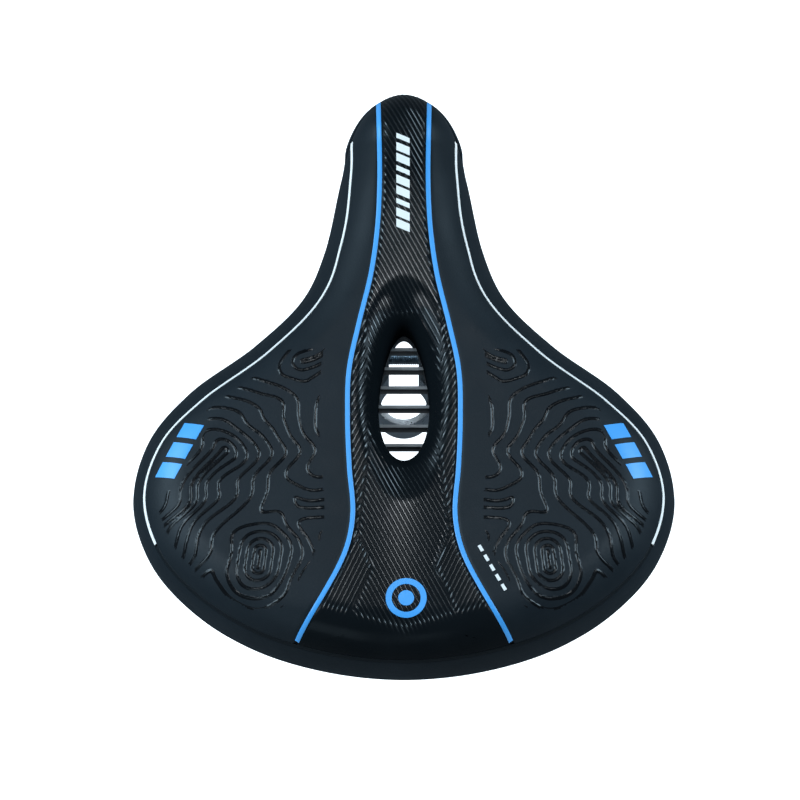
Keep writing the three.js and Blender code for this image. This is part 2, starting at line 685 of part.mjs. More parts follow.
// The lower screw's head lies inside the coil and its nut under the bridge; the upper one drives into the shell.
function lowerSpringBolt(side) {
  const seatZ = BRIDGE_NUT_Z + CUP + CUP_SPIGOT + GAP;
  return panScrew(SPRING_BOLT, side * SPRING_X, SPRING_Y, seatZ, SPRING_NUT_Z - BOLT_END);
}

function lowerSpringNut(side) {
  return uprightNut(SPRING_BOLT, side * SPRING_X, SPRING_Y, SPRING_NUT_Z);
}

function upperSpringScrew(side) {
  const seatZ = CUP_TOP_Z - CUP - CUP_SPIGOT - GAP;
  return panScrew(SPRING_BOLT, side * SPRING_X, SPRING_Y, seatZ, SHELL_Z - SHELL / 2 - GAP);
}

// ---- seatpost clamp ----
function bandShape() {
  const outerR = BAND_R;
  const innerR = BORE / 2;
  const outerA = Math.acos(EAR_OUTER_X / outerR);
  const innerA = Math.acos(EAR_INNER_X / innerR);
  const front = BOLT_Y + EAR_RADIUS;
  const shape = new THREE.Shape();
  shape.moveTo(EAR_OUTER_X, front);
  shape.lineTo(EAR_INNER_X, front);
  shape.absarc(0, 0, innerR, innerA, Math.PI - innerA, true);
  shape.lineTo(-EAR_INNER_X, front);
  shape.lineTo(-EAR_OUTER_X, front);
  shape.absarc(0, 0, outerR, Math.PI - outerA, outerA, false);
  return shape;
}

function clampBand() {
  const back = -BAND_R - GAP;
  const side = joinAll([
    box(-FAR, FAR, back, BOLT_Y, 0, BAND_HEIGHT),
    crosswise(EAR_RADIUS, -FAR, FAR, BOLT_Y, BOLT_Z, GUIDE_BOSS_SIDES),
  ]);
  const hole = crosswise(CLAMP_BOLT / 2 + GAP, -FAR, FAR, BOLT_Y, BOLT_Z);
  return prism(bandShape(), 0, BAND_HEIGHT).intersect(side).subtract(hole);
}

function guideBar() {
  const [y0, y1] = [BOLT_Y - GUIDE_LENGTH / 2, BOLT_Y + GUIDE_LENGTH / 2];
  const [z0, z1] = [RAIL_Z - GUIDE_HEIGHT / 2, RAIL_Z + GUIDE_HEIGHT / 2];
  return shapeOf([
    [y0 + GUIDE_CHAMFER, z0], [y1 - GUIDE_CHAMFER, z0], [y1, z0 + GUIDE_CHAMFER], [y1, z1 - GUIDE_CHAMFER],
    [y1 - GUIDE_CHAMFER, z1], [y0 + GUIDE_CHAMFER, z1], [y0, z1 - GUIDE_CHAMFER], [y0, z0 + GUIDE_CHAMFER],
  ]);
}

function railGuide(side, bossX, barX, endX) {
  const [b0, b1] = [side * bossX, side * endX].sort((a, b) => a - b);
  const [r0, r1] = [side * barX, side * endX].sort((a, b) => a - b);
  const whole = joinAll([
    crosswise(GUIDE_BOSS_RADIUS, b0, b1, BOLT_Y, BOLT_Z, GUIDE_BOSS_SIDES),
    across(guideBar(), r0, r1),
  ]);
  const groove = lengthwise(WIRE_R + GAP, side * RAIL_X, -FAR, FAR, RAIL_Z);
  const hole = crosswise(CLAMP_BOLT / 2 + GAP, -FAR, FAR, BOLT_Y, BOLT_Z);
  return whole.subtract(groove).subtract(hole);
}

function innerGuide(side) {
  return railGuide(side, EAR_OUTER_X + GAP, BAND_R + GAP * 2, RAIL_X - GAP / 2);
}

function outerGuide(side) {
  return railGuide(side, RAIL_X + GAP / 2, RAIL_X + GAP / 2, GUIDE_OUTER_X);
}

const WASHER_X = GUIDE_OUTER_X + GAP;
const NUT_X = WASHER_X + WASHER + GAP;

function clampWasher(side) {
  const [x0, x1] = [side * WASHER_X, side * (WASHER_X + WASHER)].sort((a, b) => a - b);
  const disc = crosswise(WASHER_RADIUS, x0, x1, BOLT_Y, BOLT_Z);
  return disc.subtract(crosswise(CLAMP_BOLT / 2 + GAP, -FAR, FAR, BOLT_Y, BOLT_Z, THREAD_SIDES));
}

function clampNut(side) {
  const [x0, x1] = [side * NUT_X, side * (NUT_X + CLAMP_BOLT * NUT_SHARE)].sort((a, b) => a - b);
  const nut = crosswise(hexRadius(CLAMP_BOLT), x0, x1, BOLT_Y, BOLT_Z, HEX);
  return nut.subtract(crosswise(CLAMP_BOLT / 2 + GAP, -FAR, FAR, BOLT_Y, BOLT_Z, THREAD_SIDES));
}

function clampBolt() {
  const reach = NUT_X + CLAMP_BOLT * NUT_SHARE + BOLT_END;
  return crosswise(CLAMP_BOLT / 2, -reach, reach, BOLT_Y, BOLT_Z);
}

// ---- the object ----
const saddle = new THREE.Group();

function finish(color, roughness, metalness = 0) {
  return () => new THREE.MeshStandardMaterial({ color, roughness, metalness });
}

const cover = finish(0x1c2226, 0.55);
const ridged = finish(0x191d20, 0.45);
const blue = finish(0x2f9fe0, 0.5);
const white = finish(0xe8ebec, 0.5);
const seam = finish(0x0f1214, 0.6);
const foam = finish(0x3a3d40, 0.95);
const gel = finish(0x4f9ec4, 0.3);
const plastic = finish(0x15181a, 0.5);
const wire = finish(0x8f979c, 0.35, 0.9);
const stamped = finish(0x2a2e31, 0.45, 0.6);
const zinc = finish(0x9aa1a5, 0.4, 0.9);

function put(name, solid, material) {
  const mesh = new THREE.Mesh(toGeometry(solid), material());
  mesh.name = name;
  saddle.add(mesh);
}

function putPair(name, make, material) {
  put(`${name}_right`, make(1), material);
  put(`${name}_left`, make(-1), material);
}

const skin = coverPieces();
put('side_skirt', skin.side_skirt, cover);
put('centre_panel', skin.centre_panel, ridged);
putPair('wing_panel', skin.wing_panel, cover);
putPair('blue_stripe', skin.blue_stripe, blue);
putPair('white_stripe', skin.white_stripe, white);
put('nose_seam_bead', skin.nose_seam_bead, seam);
put('rear_seam_bead', skin.rear_seam_bead, seam);
put('foam_pad', foamPad(), foam);
putPair('gel_pad', gelPad, gel);
put('base_shell', baseShell(), plastic);
put('nose_clip', noseClip(), zinc);
put('front_clip_screw', clipScrew(1), zinc);
put('rear_clip_screw', clipScrew(-1), zinc);
put('rail_frame', tube(railPath(), WIRE_R, RAIL_STEPS, RAIL_SIDES), wire);
put('spring_bridge', springBridge(), stamped);
put('rail_clamp_plate', railClampPlate(), stamped);
putPair('bridge_bolt', bridgeBolt, zinc);
putPair('bridge_nut', bridgeNut, zinc);
putPair('coil_spring', coilSpring, wire);
putPair('lower_spring_cup', lowerCup, stamped);
putPair('upper_spring_cup', upperCup, stamped);
putPair('lower_spring_bolt', lowerSpringBolt, zinc);
putPair('lower_spring_nut', lowerSpringNut, zinc);
putPair('upper_spring_screw', upperSpringScrew, zinc);
put('clamp_band', clampBand(), zinc);
put('clamp_bolt', clampBolt(), zinc);
putPair('clamp_nut', clampNut, zinc);
putPair('clamp_washer', clampWasher, zinc);
putPair('inner_rail_guide', innerGuide, zinc);
putPair('outer_rail_guide', outerGuide, zinc);

export default saddle;
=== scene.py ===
# A wide sprung comfort saddle: a moulded synthetic leather cover over foam and gel, on a plastic base shell
# that rides on a bent steel rail wire and two coil springs, with a seatpost clamp.
# The scene is in metres. The saddle's own sizes are in millimetres, +Y to the nose, +Z up.
import functools
import math

import bmesh
import bpy
from mathutils import Matrix, Vector, geometry, kdtree


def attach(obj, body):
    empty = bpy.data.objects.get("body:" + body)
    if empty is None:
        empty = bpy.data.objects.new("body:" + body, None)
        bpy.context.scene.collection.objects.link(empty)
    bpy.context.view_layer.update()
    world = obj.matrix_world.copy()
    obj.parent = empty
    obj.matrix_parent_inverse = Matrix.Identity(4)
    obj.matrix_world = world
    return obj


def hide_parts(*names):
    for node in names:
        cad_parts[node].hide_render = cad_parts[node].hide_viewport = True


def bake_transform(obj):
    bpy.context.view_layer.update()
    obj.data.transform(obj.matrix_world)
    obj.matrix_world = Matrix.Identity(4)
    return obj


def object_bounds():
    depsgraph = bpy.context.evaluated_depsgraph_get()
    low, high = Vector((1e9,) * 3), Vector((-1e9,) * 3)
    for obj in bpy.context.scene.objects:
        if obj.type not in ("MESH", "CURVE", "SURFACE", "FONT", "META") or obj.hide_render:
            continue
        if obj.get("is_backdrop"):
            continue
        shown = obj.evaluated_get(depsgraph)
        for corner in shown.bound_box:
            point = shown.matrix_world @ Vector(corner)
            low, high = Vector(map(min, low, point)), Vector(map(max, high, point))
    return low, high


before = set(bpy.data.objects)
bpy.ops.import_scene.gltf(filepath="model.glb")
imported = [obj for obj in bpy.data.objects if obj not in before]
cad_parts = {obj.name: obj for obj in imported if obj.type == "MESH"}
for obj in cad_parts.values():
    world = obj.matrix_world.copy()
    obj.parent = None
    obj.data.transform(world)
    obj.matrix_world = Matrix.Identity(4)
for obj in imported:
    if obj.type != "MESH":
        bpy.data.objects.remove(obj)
cad_low, cad_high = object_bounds()

# ---- view, light and floor ----
# The saddle is held free above a plain pale studio floor, under large soft lights,
# and is seen from above and a little behind.
MM = 0.001
ELEVATION = math.radians(75)
VIEW_DISTANCE = 3.0  # a long lens, seen nearly without perspective
VIEW_WIDTH = 0.368
SENSOR = 36.0
SIGHT = Vector((-0.0018, -0.0203, 0.095))
FLOOR_Z = -0.16
FLOOR_HALF = 6
SKY = (0.65, 0.83, 1.0, 1)
SKY_STRENGTH = 0.11
COOL = (0.62, 0.84, 1.0)
NEAR_WHITE = (0.85, 0.93, 1)
PALE = (0.9, 0.96, 1)

scene = bpy.context.scene
scene.view_settings.view_transform = "Standard"

camera_data = bpy.data.cameras.new("camera")
camera_data.sensor_width = SENSOR
camera_data.lens = SENSOR * VIEW_DISTANCE / VIEW_WIDTH
camera = bpy.data.objects.new("camera", camera_data)
camera.location = SIGHT + VIEW_DISTANCE * Vector((0, -math.cos(ELEVATION), math.sin(ELEVATION)))
camera.rotation_euler = (math.pi / 2 - ELEVATION, 0, 0)
scene.collection.objects.link(camera)
scene.camera = camera


def soft_light(name, place, aim, size, watts, tint):
    data = bpy.data.lights.new(name, "AREA")
    data.shape = "RECTANGLE"
    data.size, data.size_y = size
    data.energy = watts
    data.color = tint
    light = bpy.data.objects.new(name, data)
    light.location = place
    light.rotation_euler = (Vector(place) - Vector(aim)).to_track_quat("Z", "Y").to_euler()
    scene.collection.objects.link(light)


# name, place, aim, size, watts, tint
for light_values in (
    ("left_softbox", (-0.85, 0.15, 0.6), (0, 0, 0.09), (0.8, 0.5), 9.5, COOL),
    ("right_softbox", (0.9, 0.2, 0.6), (0, 0, 0.09), (0.6, 0.5), 8, COOL),
    ("left_top_softbox", (-0.5, -0.1, 0.85), (-0.09, -0.08, 0.09), (0.26, 0.26), 1.4, NEAR_WHITE),
    ("right_top_softbox", (0.55, -0.1, 0.85), (0.09, -0.08, 0.09), (0.2, 0.2), 0.9, NEAR_WHITE),
    ("front_top_softbox", (0.02, 0.3, 1.0), (0, -0.07, 0.09), (0.2, 0.14), 1.0, PALE),
    ("rear_softbox", (-0.3, -0.8, 0.5), (0, -0.07, 0.09), (0.6, 0.3), 0.8, COOL),
):
    soft_light(*light_values)

world = bpy.data.worlds.new("studio")
scene.world = world
world.use_nodes = True
background = world.node_tree.nodes["Background"].inputs
background["Color"].default_value = SKY
background["Strength"].default_value = SKY_STRENGTH


def material(name, roughness=0.5, metallic=0.0, colour=(0.5, 0.5, 0.5), **sockets):
    """A Principled material, its uniform values on the shader's own sockets."""
    made = bpy.data.materials.new(name)
    made.use_nodes = True
    shader = made.node_tree.nodes["Principled BSDF"]
    shader.inputs["Base Color"].default_value = (*colour, 1)
    shader.inputs["Roughness"].default_value = roughness
    shader.inputs["Metallic"].default_value = metallic
    for socket, value in sockets.items():
        shader.inputs[socket.replace("_", " ").title().replace("Ior", "IOR")].default_value = value
    return made


def node(made, kind, links=(), **values):
    """Adds a node. links are (input, node, output); values are the node's own settings or its inputs."""
    new = made.node_tree.nodes.new(kind)
    for key, value in values.items():
        if hasattr(new, key):
            setattr(new, key, value)
        else:
            new.inputs[key.replace("_", " ").title()].default_value = value
    for socket, source, output in links:
        made.node_tree.links.new(source.outputs[output], new.inputs[socket])
    return new


def drive(made, socket, source, output):
    """Links a node to one of the shader's own sockets."""
    made.node_tree.links.new(source.outputs[output], made.node_tree.nodes["Principled BSDF"].inputs[socket])


pale_floor = material("pale_floor", 0.8, colour=(0.95, 0.95, 0.945), emission_strength=1.0)
pale_floor.node_tree.nodes["Principled BSDF"].inputs["Emission Color"].default_value = (1, 1, 0.99, 1)
bm = bmesh.new()
bmesh.ops.create_grid(bm, x_segments=1, y_segments=1, size=FLOOR_HALF)
bmesh.ops.translate(bm, verts=bm.verts, vec=(0, 0, FLOOR_Z))
floor_mesh = bpy.data.meshes.new("floor")
bm.to_mesh(floor_mesh)
bm.free()
floor_mesh.materials.append(pale_floor)
floor = bpy.data.objects.new("floor", floor_mesh)
scene.collection.objects.link(floor)
floor.visible_glossy = False
floor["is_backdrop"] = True

# ---- side skirt ----
# The cover's outer band: smooth synthetic leather drawn down over the foam's rounded shoulder,
# turned under the shell's lip and glued there as a hem.
NOSE_Y = cad_high.y / MM
TAIL_Y = cad_low.y / MM
LENGTH = NOSE_Y - TAIL_Y
HALF_WIDTH = 125
EDGE_ROLL = 26
NOSE_ROLL = 19.5  # the shoulder is tighter round the nose
NOSE_ROLL_Y = (104, 116)
CREST_Z = 103
CREST_RISE = 11.28
NOSE_DROOP = 4
DROOP_LENGTH = 65
WING_DROP = 8
VALLEY_DEPTH = 3.5
VALLEY_WIDTH = 27
VALLEY_REACH = 40
SKIRT_Z = 66
SKIRT_RISE = 8.46
HEM_WIDTH = 9.5
HEM_CORNER = 2.2
LEATHER = 1.4
RECESS_DEPTH = 9
RECESS_HALF = Vector((22, 56))
RECESS_FLOOR = 0.35
SLOT_HALF = Vector((11.5, 31.5))
SLOT_Y = -16
SLOT_EGG = 0.2
RING_STEPS = 720
BEAD = 1.05
SEAM_ROOM = 0.06
PANEL_FALL = 0.4  # how far a panel's edge dips into its seam
PANEL_FALL_REACH = 1.8
CURVE_STEPS = 24
GRAIN_STRENGTH = 0.5
SKIRT_ROWS = 30
HEM_SHARE = 0.2  # the hem's and its corner's shares of the way from the hem's inner edge to the seam
CORNER_SHARE = 0.36
OUTLINE = [
    (0, 0), (0.008, 0.072), (0.03, 0.137), (0.071, 0.192), (0.15, 0.237), (0.274, 0.298), (0.356, 0.378),
    (0.438, 0.558), (0.519, 0.8), (0.601, 0.948), (0.703, 1), (0.805, 0.931), (0.886, 0.776), (0.95, 0.552),
    (0.988, 0.28), (1, 0),
]
# distance from the outline to the seam, by share of the way round from tip to tail
WAY_ROUND = 400  # millimetres that stand for the way, so that the curve runs evenly
SEAM_INSET = [
    (-0.02, 0.6), (0, 0.6), (0.05, 0.6), (0.085, 0.7), (0.11, 3.0), (0.133, 4.9), (0.18, 7.3), (0.228, 8.6),
    (0.27, 10.4), (0.35, 11.3), (0.45, 11.3), (0.54, 8), (0.6, 5.7), (0.66, 4.7), (0.8, 4.6), (1, 4.6),
    (1.1, 4.6),
]


def ease(low, high, value):
    """Rises smoothly from 0 at low to 1 at high."""
    share = min(1, max(0, (value - low) / (high - low)))
    return share * share * (3 - 2 * share)


def curve_through(points, closed):
    """Close points on a smooth line through the given ones."""
    count = len(points)
    line = []
    for i in range(count if closed else count - 1):
        places = [k % count if closed else min(max(k, 0), count - 1) for k in range(i - 1, i + 3)]
        near = [points[k] for k in places]
        steps = [math.sqrt((b - a).length) for a, b in zip(near, near[1:])]
        steps = [step or steps[1] for step in steps]
        slopes = [(b - a) / step for a, b, step in zip(near, near[1:], steps)]
        start, end = (
            slopes[k] - (near[k + 2] - near[k]) / (steps[k] + steps[k + 1]) + slopes[k + 1] for k in (0, 1)
        )
        handle = steps[1] / 3
        bezier = (near[1], near[1] + start * handle, near[2] - end * handle, near[2])
        line += geometry.interpolate_bezier(*bezier, CURVE_STEPS + 1)[:-1]
    return line if closed else [*line, points[-1]]


def evenly(line, count):
    """Points at equal steps along a closed line."""
    loop = [*line, line[0]]
    reach = [0]
    for a, b in zip(loop, loop[1:]):
        reach.append(reach[-1] + (b - a).length)
    even = []
    k = 0
    for i in range(count):
        want = reach[-1] * i / count
        while reach[k + 1] < want:
            k += 1
        even.append(loop[k].lerp(loop[k + 1], (want - reach[k]) / (reach[k + 1] - reach[k])))
    return even


right_side = [Vector((w * HALF_WIDTH, NOSE_Y - s * LENGTH, 0)) for s, w in OUTLINE]
left_side = [Vector((-p.x, p.y, 0)) for p in right_side[-2:0:-1]]
ring = evenly(curve_through(right_side + left_side, True), RING_STEPS)
ring_tree = kdtree.KDTree(RING_STEPS)
for i, p in enumerate(ring):
    ring_tree.insert(p, i)
ring_tree.balance()


def inward(i):
    """The direction into the saddle at a point of the ring."""
    along = (ring[(i + 1) % RING_STEPS] - ring[i - 1]).normalized()
    return Vector((along.y, -along.x, 0))


def round_share(place):
    """Share of the way from tip to tail, on either side, for a place on the ring."""
    place = place % RING_STEPS
    return min(place, RING_STEPS - place) / (RING_STEPS / 2)


@functools.cache
def edge(x, y):
    """Distance inside the outline, and the share of the way round at the nearest point."""
    here = Vector((x, y, 0))
    _, near, _ = ring_tree.find(here)
    best = (math.inf, 0, 0)
    for i in (near - 1, near):
        a, b = ring[i], ring[(i + 1) % RING_STEPS]
        along = min(1, max(0, geometry.intersect_point_line(here, a, b)[1]))
        away = here - a.lerp(b, along)
        best = min(best, (away.length, i + along, away.dot(inward(i % RING_STEPS))))
    return math.copysign(best[0], best[2]), round_share(best[1])


def skirt_z(y):
    return SKIRT_Z - SKIRT_RISE * y / LENGTH


def recess(x, y):
    """Depth of the dished recess round the relief slot."""
    reach = math.hypot(x / RECESS_HALF.x, (y - SLOT_Y) / RECESS_HALF.y)
    return RECESS_DEPTH * (1 - ease(RECESS_FLOOR, 1, reach))


def crown_z(x, y):
    """Height of the seat away from its rolled edge: a falling crest, low wings and a rear valley."""
    droop = max(0, (y - NOSE_Y + DROOP_LENGTH) / DROOP_LENGTH)
    crest = CREST_Z - CREST_RISE * y / LENGTH - NOSE_DROOP * droop * droop
    behind = 1 - ease(-VALLEY_REACH, VALLEY_REACH, y)
    valley = VALLEY_DEPTH * math.exp(-((x / VALLEY_WIDTH) ** 2)) * behind
    return crest - WING_DROP * (x / HALF_WIDTH) ** 2 - valley - recess(x, y)


def rolled_z(x, y, inside):
    """Height of the seat's surface at a place that lies a known distance inside the outline."""
    roll = EDGE_ROLL + (NOSE_ROLL - EDGE_ROLL) * ease(*NOSE_ROLL_Y, y)
    share = min(1, max(0, inside) / roll)
    base = skirt_z(y)
    return base + (crown_z(x, y) - base) * math.sqrt(1 - (1 - share) ** 2)


@functools.cache
def seat_z(x, y):
    return rolled_z(x, y, edge(x, y)[0])


def sheet(around, across, place, closed=False):
    """A bmesh grid whose points are set by place(u, v), u and v from 0 to 1; u may close on itself."""
    made = bmesh.new()
    bmesh.ops.create_grid(made, x_segments=around, y_segments=across, size=0.5)
    for vert in made.verts:
        vert.co = place(vert.co.x + 0.5, vert.co.y + 0.5)
    if closed:
        bmesh.ops.remove_doubles(made, verts=made.verts, dist=1e-4)
    return made


def finish(made, name, finishes, body, nodes=(), wall=0.0, corner=30):
    """Makes the object from millimetres: its materials, wall, CAD nodes and body."""
    bmesh.ops.scale(made, vec=(MM,) * 3, verts=made.verts)
    made.edges.index_update()
    borders = [e.index for e in made.edges if e.is_boundary]
    mesh = bpy.data.meshes.new(name)
    made.to_mesh(mesh)
    made.free()
    mesh.shade_smooth()
    mesh.set_sharp_from_angle(angle=math.radians(corner))
    for index in borders:
        mesh.edges[index].use_edge_sharp = True
    for finish_material in finishes if isinstance(finishes, list) else [finishes]:
        mesh.materials.append(finish_material)
    made_object = bpy.data.objects.new(name, mesh)
    scene.collection.objects.link(made_object)
    if wall:
        solid = made_object.modifiers.new("wall", "SOLIDIFY")
        solid.thickness = wall * MM
        solid.offset = -1
    if nodes:
        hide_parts(*nodes)
    if body:
        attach(made_object, body)
    return made_object


seam_curve = curve_through([Vector((share * WAY_ROUND, inset, 0)) for share, inset in SEAM_INSET], False)


@functools.cache
def seam_inset(share):
    way = share * WAY_ROUND
    k = next(k for k, p in enumerate(seam_curve) if p.x > way)
    a, b = seam_curve[k - 1], seam_curve[k]
    return a.y + (b.y - a.y) * (way - a.x) / (b.x - a.x)


def skirt_place(u, v):
    """v runs from the hem's inner edge, out and round its corner, and up the side to the seam."""
    place = u * RING_STEPS
    i = round(place) % RING_STEPS
    seam = seam_inset(round_share(place)) - BEAD / 2 - SEAM_ROOM
    start, step = ring[i], inward(i)
    if v < HEM_SHARE:
        inset = HEM_WIDTH + (HEM_CORNER - HEM_WIDTH) * v / HEM_SHARE
        flat = start + step * inset
        return Vector((flat.x, flat.y, skirt_z(flat.y)))
    if v < CORNER_SHARE:
        angle = (v - HEM_SHARE) / (CORNER_SHARE - HEM_SHARE) * math.pi / 2
        flat = start + step * HEM_CORNER * (1 - math.sin(angle))
        return Vector((flat.x, flat.y, skirt_z(flat.y) + HEM_CORNER * (1 - math.cos(angle))))
    rise = (v - CORNER_SHARE) / (1 - CORNER_SHARE)
    inset = seam * rise ** 2
    flat = start + step * inset
    z = rolled_z(flat.x, flat.y, inset)
    low = skirt_z(start.y) + HEM_CORNER
    z = max(z, low + (z - low) * rise) if rise > 0 else low
    return Vector((flat.x, flat.y, z - panel_fall(seam - inset)))


def panel_fall(gap):
    """How far a panel has dipped at a distance from its edge."""
    return PANEL_FALL * (1 - min(1, max(0, gap) / PANEL_FALL_REACH)) ** 2


def tone(made, source, stops):
    """Colours a material by a texture: stops are two of (position, colour)."""
    ramp = node(made, "ShaderNodeValToRGB", [("Fac", source, "Fac")])
    for element, (position, colour) in zip(ramp.color_ramp.elements, stops):
        element.position = position
        element.color = (*colour, 1)
    drive(made, "Base Color", ramp, "Color")


def uneven_gloss(made, source, low, high, reach=(0, 1)):
    """Takes the roughness from low to high as a texture goes over its reach."""
    gloss = node(made, "ShaderNodeMapRange", [("Value", source, "Fac")], from_min=reach[0], from_max=reach[1],
                 to_min=low, to_max=high)
    drive(made, "Roughness", gloss, "Result")


def relief(made, source, output, strength, distance):
    """Fine relief from a texture."""
    bump = node(made, "ShaderNodeBump", [("Height", source, output)], strength=strength, distance=distance)
    drive(made, "Normal", bump, "Normal")


def leather(name, colours, roughness, grain=0.00012, grain_scale=1500, **sockets):
    """Synthetic leather: pebbled grain, a slow change of tone, and rubbed-smooth patches."""
    made = material(name, roughness, **sockets)
    place = node(made, "ShaderNodeTexCoord")
    cloud = node(made, "ShaderNodeTexNoise", [("Vector", place, "Object")], scale=28, detail=5, roughness=0.6)
    tone(made, cloud, zip((0.3, 0.72), colours))
    pebble = node(made, "ShaderNodeTexVoronoi", [("Vector", place, "Object")], scale=grain_scale)
    crease_scale = grain_scale * 0.6
    crease = node(made, "ShaderNodeTexNoise", [("Vector", place, "Object")], scale=crease_scale, detail=4)
    both = node(made, "ShaderNodeMath", [(0, pebble, "Distance"), (1, crease, "Fac")], operation="MULTIPLY")
    relief(made, both, "Value", GRAIN_STRENGTH, grain)
    rub = node(made, "ShaderNodeTexNoise", [("Vector", place, "Object")], scale=60, detail=3)
    uneven_gloss(made, rub, roughness - 0.05, roughness + 0.06, (0.3, 0.7))
    return made


cover_leather = leather(
    "cover_leather", [(0.005, 0.0095, 0.0135), (0.008, 0.0135, 0.0185)], 0.5, specular_ior_level=0.26
)
bm = sheet(RING_STEPS // 2, SKIRT_ROWS, skirt_place, closed=True)
bmesh.ops.reverse_faces(bm, faces=bm.faces)
finish(bm, "skirt_skin", cover_leather, "seat", ["side_skirt"], LEATHER)

# ---- seam beads and white piping ----
# A thin dark bead fills the seam round the nose and the tail. Along both flanks it is a white
# welded piping, which stops behind the widest part of the wings.
SIDES = ((1, "right"), (-1, "left"))
PIPING_Y = (110.5, -86)
BEAD_CROWN = 0.3
BEAD_SINK = 0.35
DARK_BEAD_SINK = 0.65  # the dark bead lies deeper in the seam
STRIP_ROWS = 6
STRIP_DEPTH = 0.8


def bead_strip(first, last, width, crown, sink):
    """A crowned strip in the seam, from one place on the ring to another, in millimetres."""
    steps = round(last - first)

    def place(u, v):
        station = first + u * (last - first)
        i = int(station) % RING_STEPS
        part = station - int(station)
        start = ring[i].lerp(ring[(i + 1) % RING_STEPS], part)
        step = inward(i).lerp(inward((i + 1) % RING_STEPS), part)
        across = 1 - 2 * v
        inset = seam_inset(round_share(station)) + across * width / 2
        flat = start + step * inset
        z = rolled_z(flat.x, flat.y, inset) - sink + crown * (1 - across ** 4)
        return Vector((flat.x, flat.y, z))

    return sheet(steps, STRIP_ROWS, place)


def ring_place(y, side):
    """The place on the ring's right (1) or left (-1) half where the seam passes y."""
    half = RING_STEPS // 2
    for k in range(half):
        flat = ring[k] + inward(k) * seam_inset(round_share(k))
        if flat.y < y:
            return k if side > 0 else RING_STEPS - k
    return half


white_print = material("white_print", 0.42, colour=(0.9, 0.9, 0.88))
bead_black = leather(
    "bead_black", [(0.004, 0.007, 0.009), (0.006, 0.009, 0.012)], 0.5, specular_ior_level=0.2
)
for side, name in SIDES:
    ends = sorted(ring_place(y, side) for y in PIPING_Y)
    bm = bead_strip(*ends, BEAD, BEAD_CROWN, BEAD_SINK)
    stands_for = [f"white_stripe_{name}"]
    finish(bm, f"white_piping_{name}", white_print, "seat", stands_for, STRIP_DEPTH)
front, rear = (ring_place(y, 1) for y in PIPING_Y)
bm = bead_strip(rear + 1, RING_STEPS - rear - 1, BEAD, BEAD_CROWN, DARK_BEAD_SINK)
finish(bm, "tail_bead", bead_black, "seat", ["rear_seam_bead"], STRIP_DEPTH)
bm = bead_strip(-front + 1, front - 1, BEAD, BEAD_CROWN, DARK_BEAD_SINK)
finish(bm, "nose_bead", cover_leather, "seat", ["nose_seam_bead"], STRIP_DEPTH)

# ---- blue stripes ----
# Two satin blue ribbons of printed film, welded into the seams between the centre panel and the
# wings. They run from the nose, close in beside the relief slot and part again to the tail's edge.
STRIPE = 2.15
STRIPE_CROWN = 0.22
STRIPE_SINK = 0.3
STRIPE_LINE = [
    (-0.05, 0.1), (0.06, 0.094), (0.18, 0.09), (0.262, 0.098), (0.343, 0.122), (0.425, 0.165), (0.507, 0.202),
    (0.59, 0.207), (0.67, 0.2), (0.75, 0.187), (0.81, 0.212), (0.885, 0.294), (0.957, 0.395), (1.05, 0.53),
]
stripe_line = curve_through([Vector((w * HALF_WIDTH, NOSE_Y - s * LENGTH, 0)) for s, w in STRIPE_LINE], False)


@functools.cache
def stripe_at(y):
    """The stripe's distance from the middle at y, and the cosine of its slant there."""
    k = next((k for k, p in enumerate(stripe_line) if p.y < y), len(stripe_line) - 1)
    a, b = stripe_line[max(1, k) - 1], stripe_line[max(1, k)]
    along = (b - a).normalized()
    return a.x + (b.x - a.x) * (y - a.y) / (b.y - a.y), abs(along.y)


def stripe_gap(x, y):
    """Distance outside the stripe's middle line: positive in a wing, negative in the centre panel."""
    middle, cosine = stripe_at(y)
    return (abs(x) - middle) * cosine


@functools.cache
def seam_gap(x, y):
    """Distance inside the seam."""
    inside, share = edge(x, y)
    return inside - seam_inset(share)


def stripe_strip(side):
    """A crowned ribbon along the stripe's line, as far as the seam."""
    kept = [p for p in stripe_line if TAIL_Y < p.y < NOSE_Y and seam_gap(p.x, p.y) > BEAD / 2 + SEAM_ROOM]

    def place(u, v):
        reach = u * (len(kept) - 1)
        k = min(int(reach), len(kept) - 2)
        middle = kept[k].lerp(kept[k + 1], reach - k)
        along = (kept[k + 1] - kept[k]).normalized()
        across = 2 * v - 1
        flat = middle + Vector((-along.y, along.x, 0)) * across * STRIPE / 2 * side
        flat.x *= side
        z = seat_z(flat.x, flat.y) - STRIPE_SINK + STRIPE_CROWN * (1 - across ** 4)
        return Vector((flat.x, flat.y, z))

    return sheet(len(kept) * 2, STRIP_ROWS, place)


blue_print = material("blue_print", 0.38, colour=(0.06, 0.37, 0.86))
for side, name in SIDES:
    bm = stripe_strip(side)
    stands_for = [f"blue_stripe_{name}"]
    finish(bm, f"blue_ribbon_{name}", blue_print, "seat", stands_for, STRIP_DEPTH)

# ---- wing panels ----
# The padded flanks: thin leather moulded hot over the foam and gel, with contour lines pressed up
# into glossy beads.
WING_STEP = 0.8
LINE_HALF = 0.8
LINE_CORE = 0.3
LINE_RISE = 0.42
LINE_COUNT = 15
LINE_SPAN_Y = (-121, 3)
LINE_TO_SEAM = 5.5
LINE_TO_STRIPE = 12
LINE_TO_MARK = 5.8
LINE_FADE = 2.5
LINE_SEEN = 0.25  # how far a line has to stand before it turns glossy
EDGE_CUTS = (0.35, 0.9, 1.7)  # extra rows of edges where a panel dips into its seam
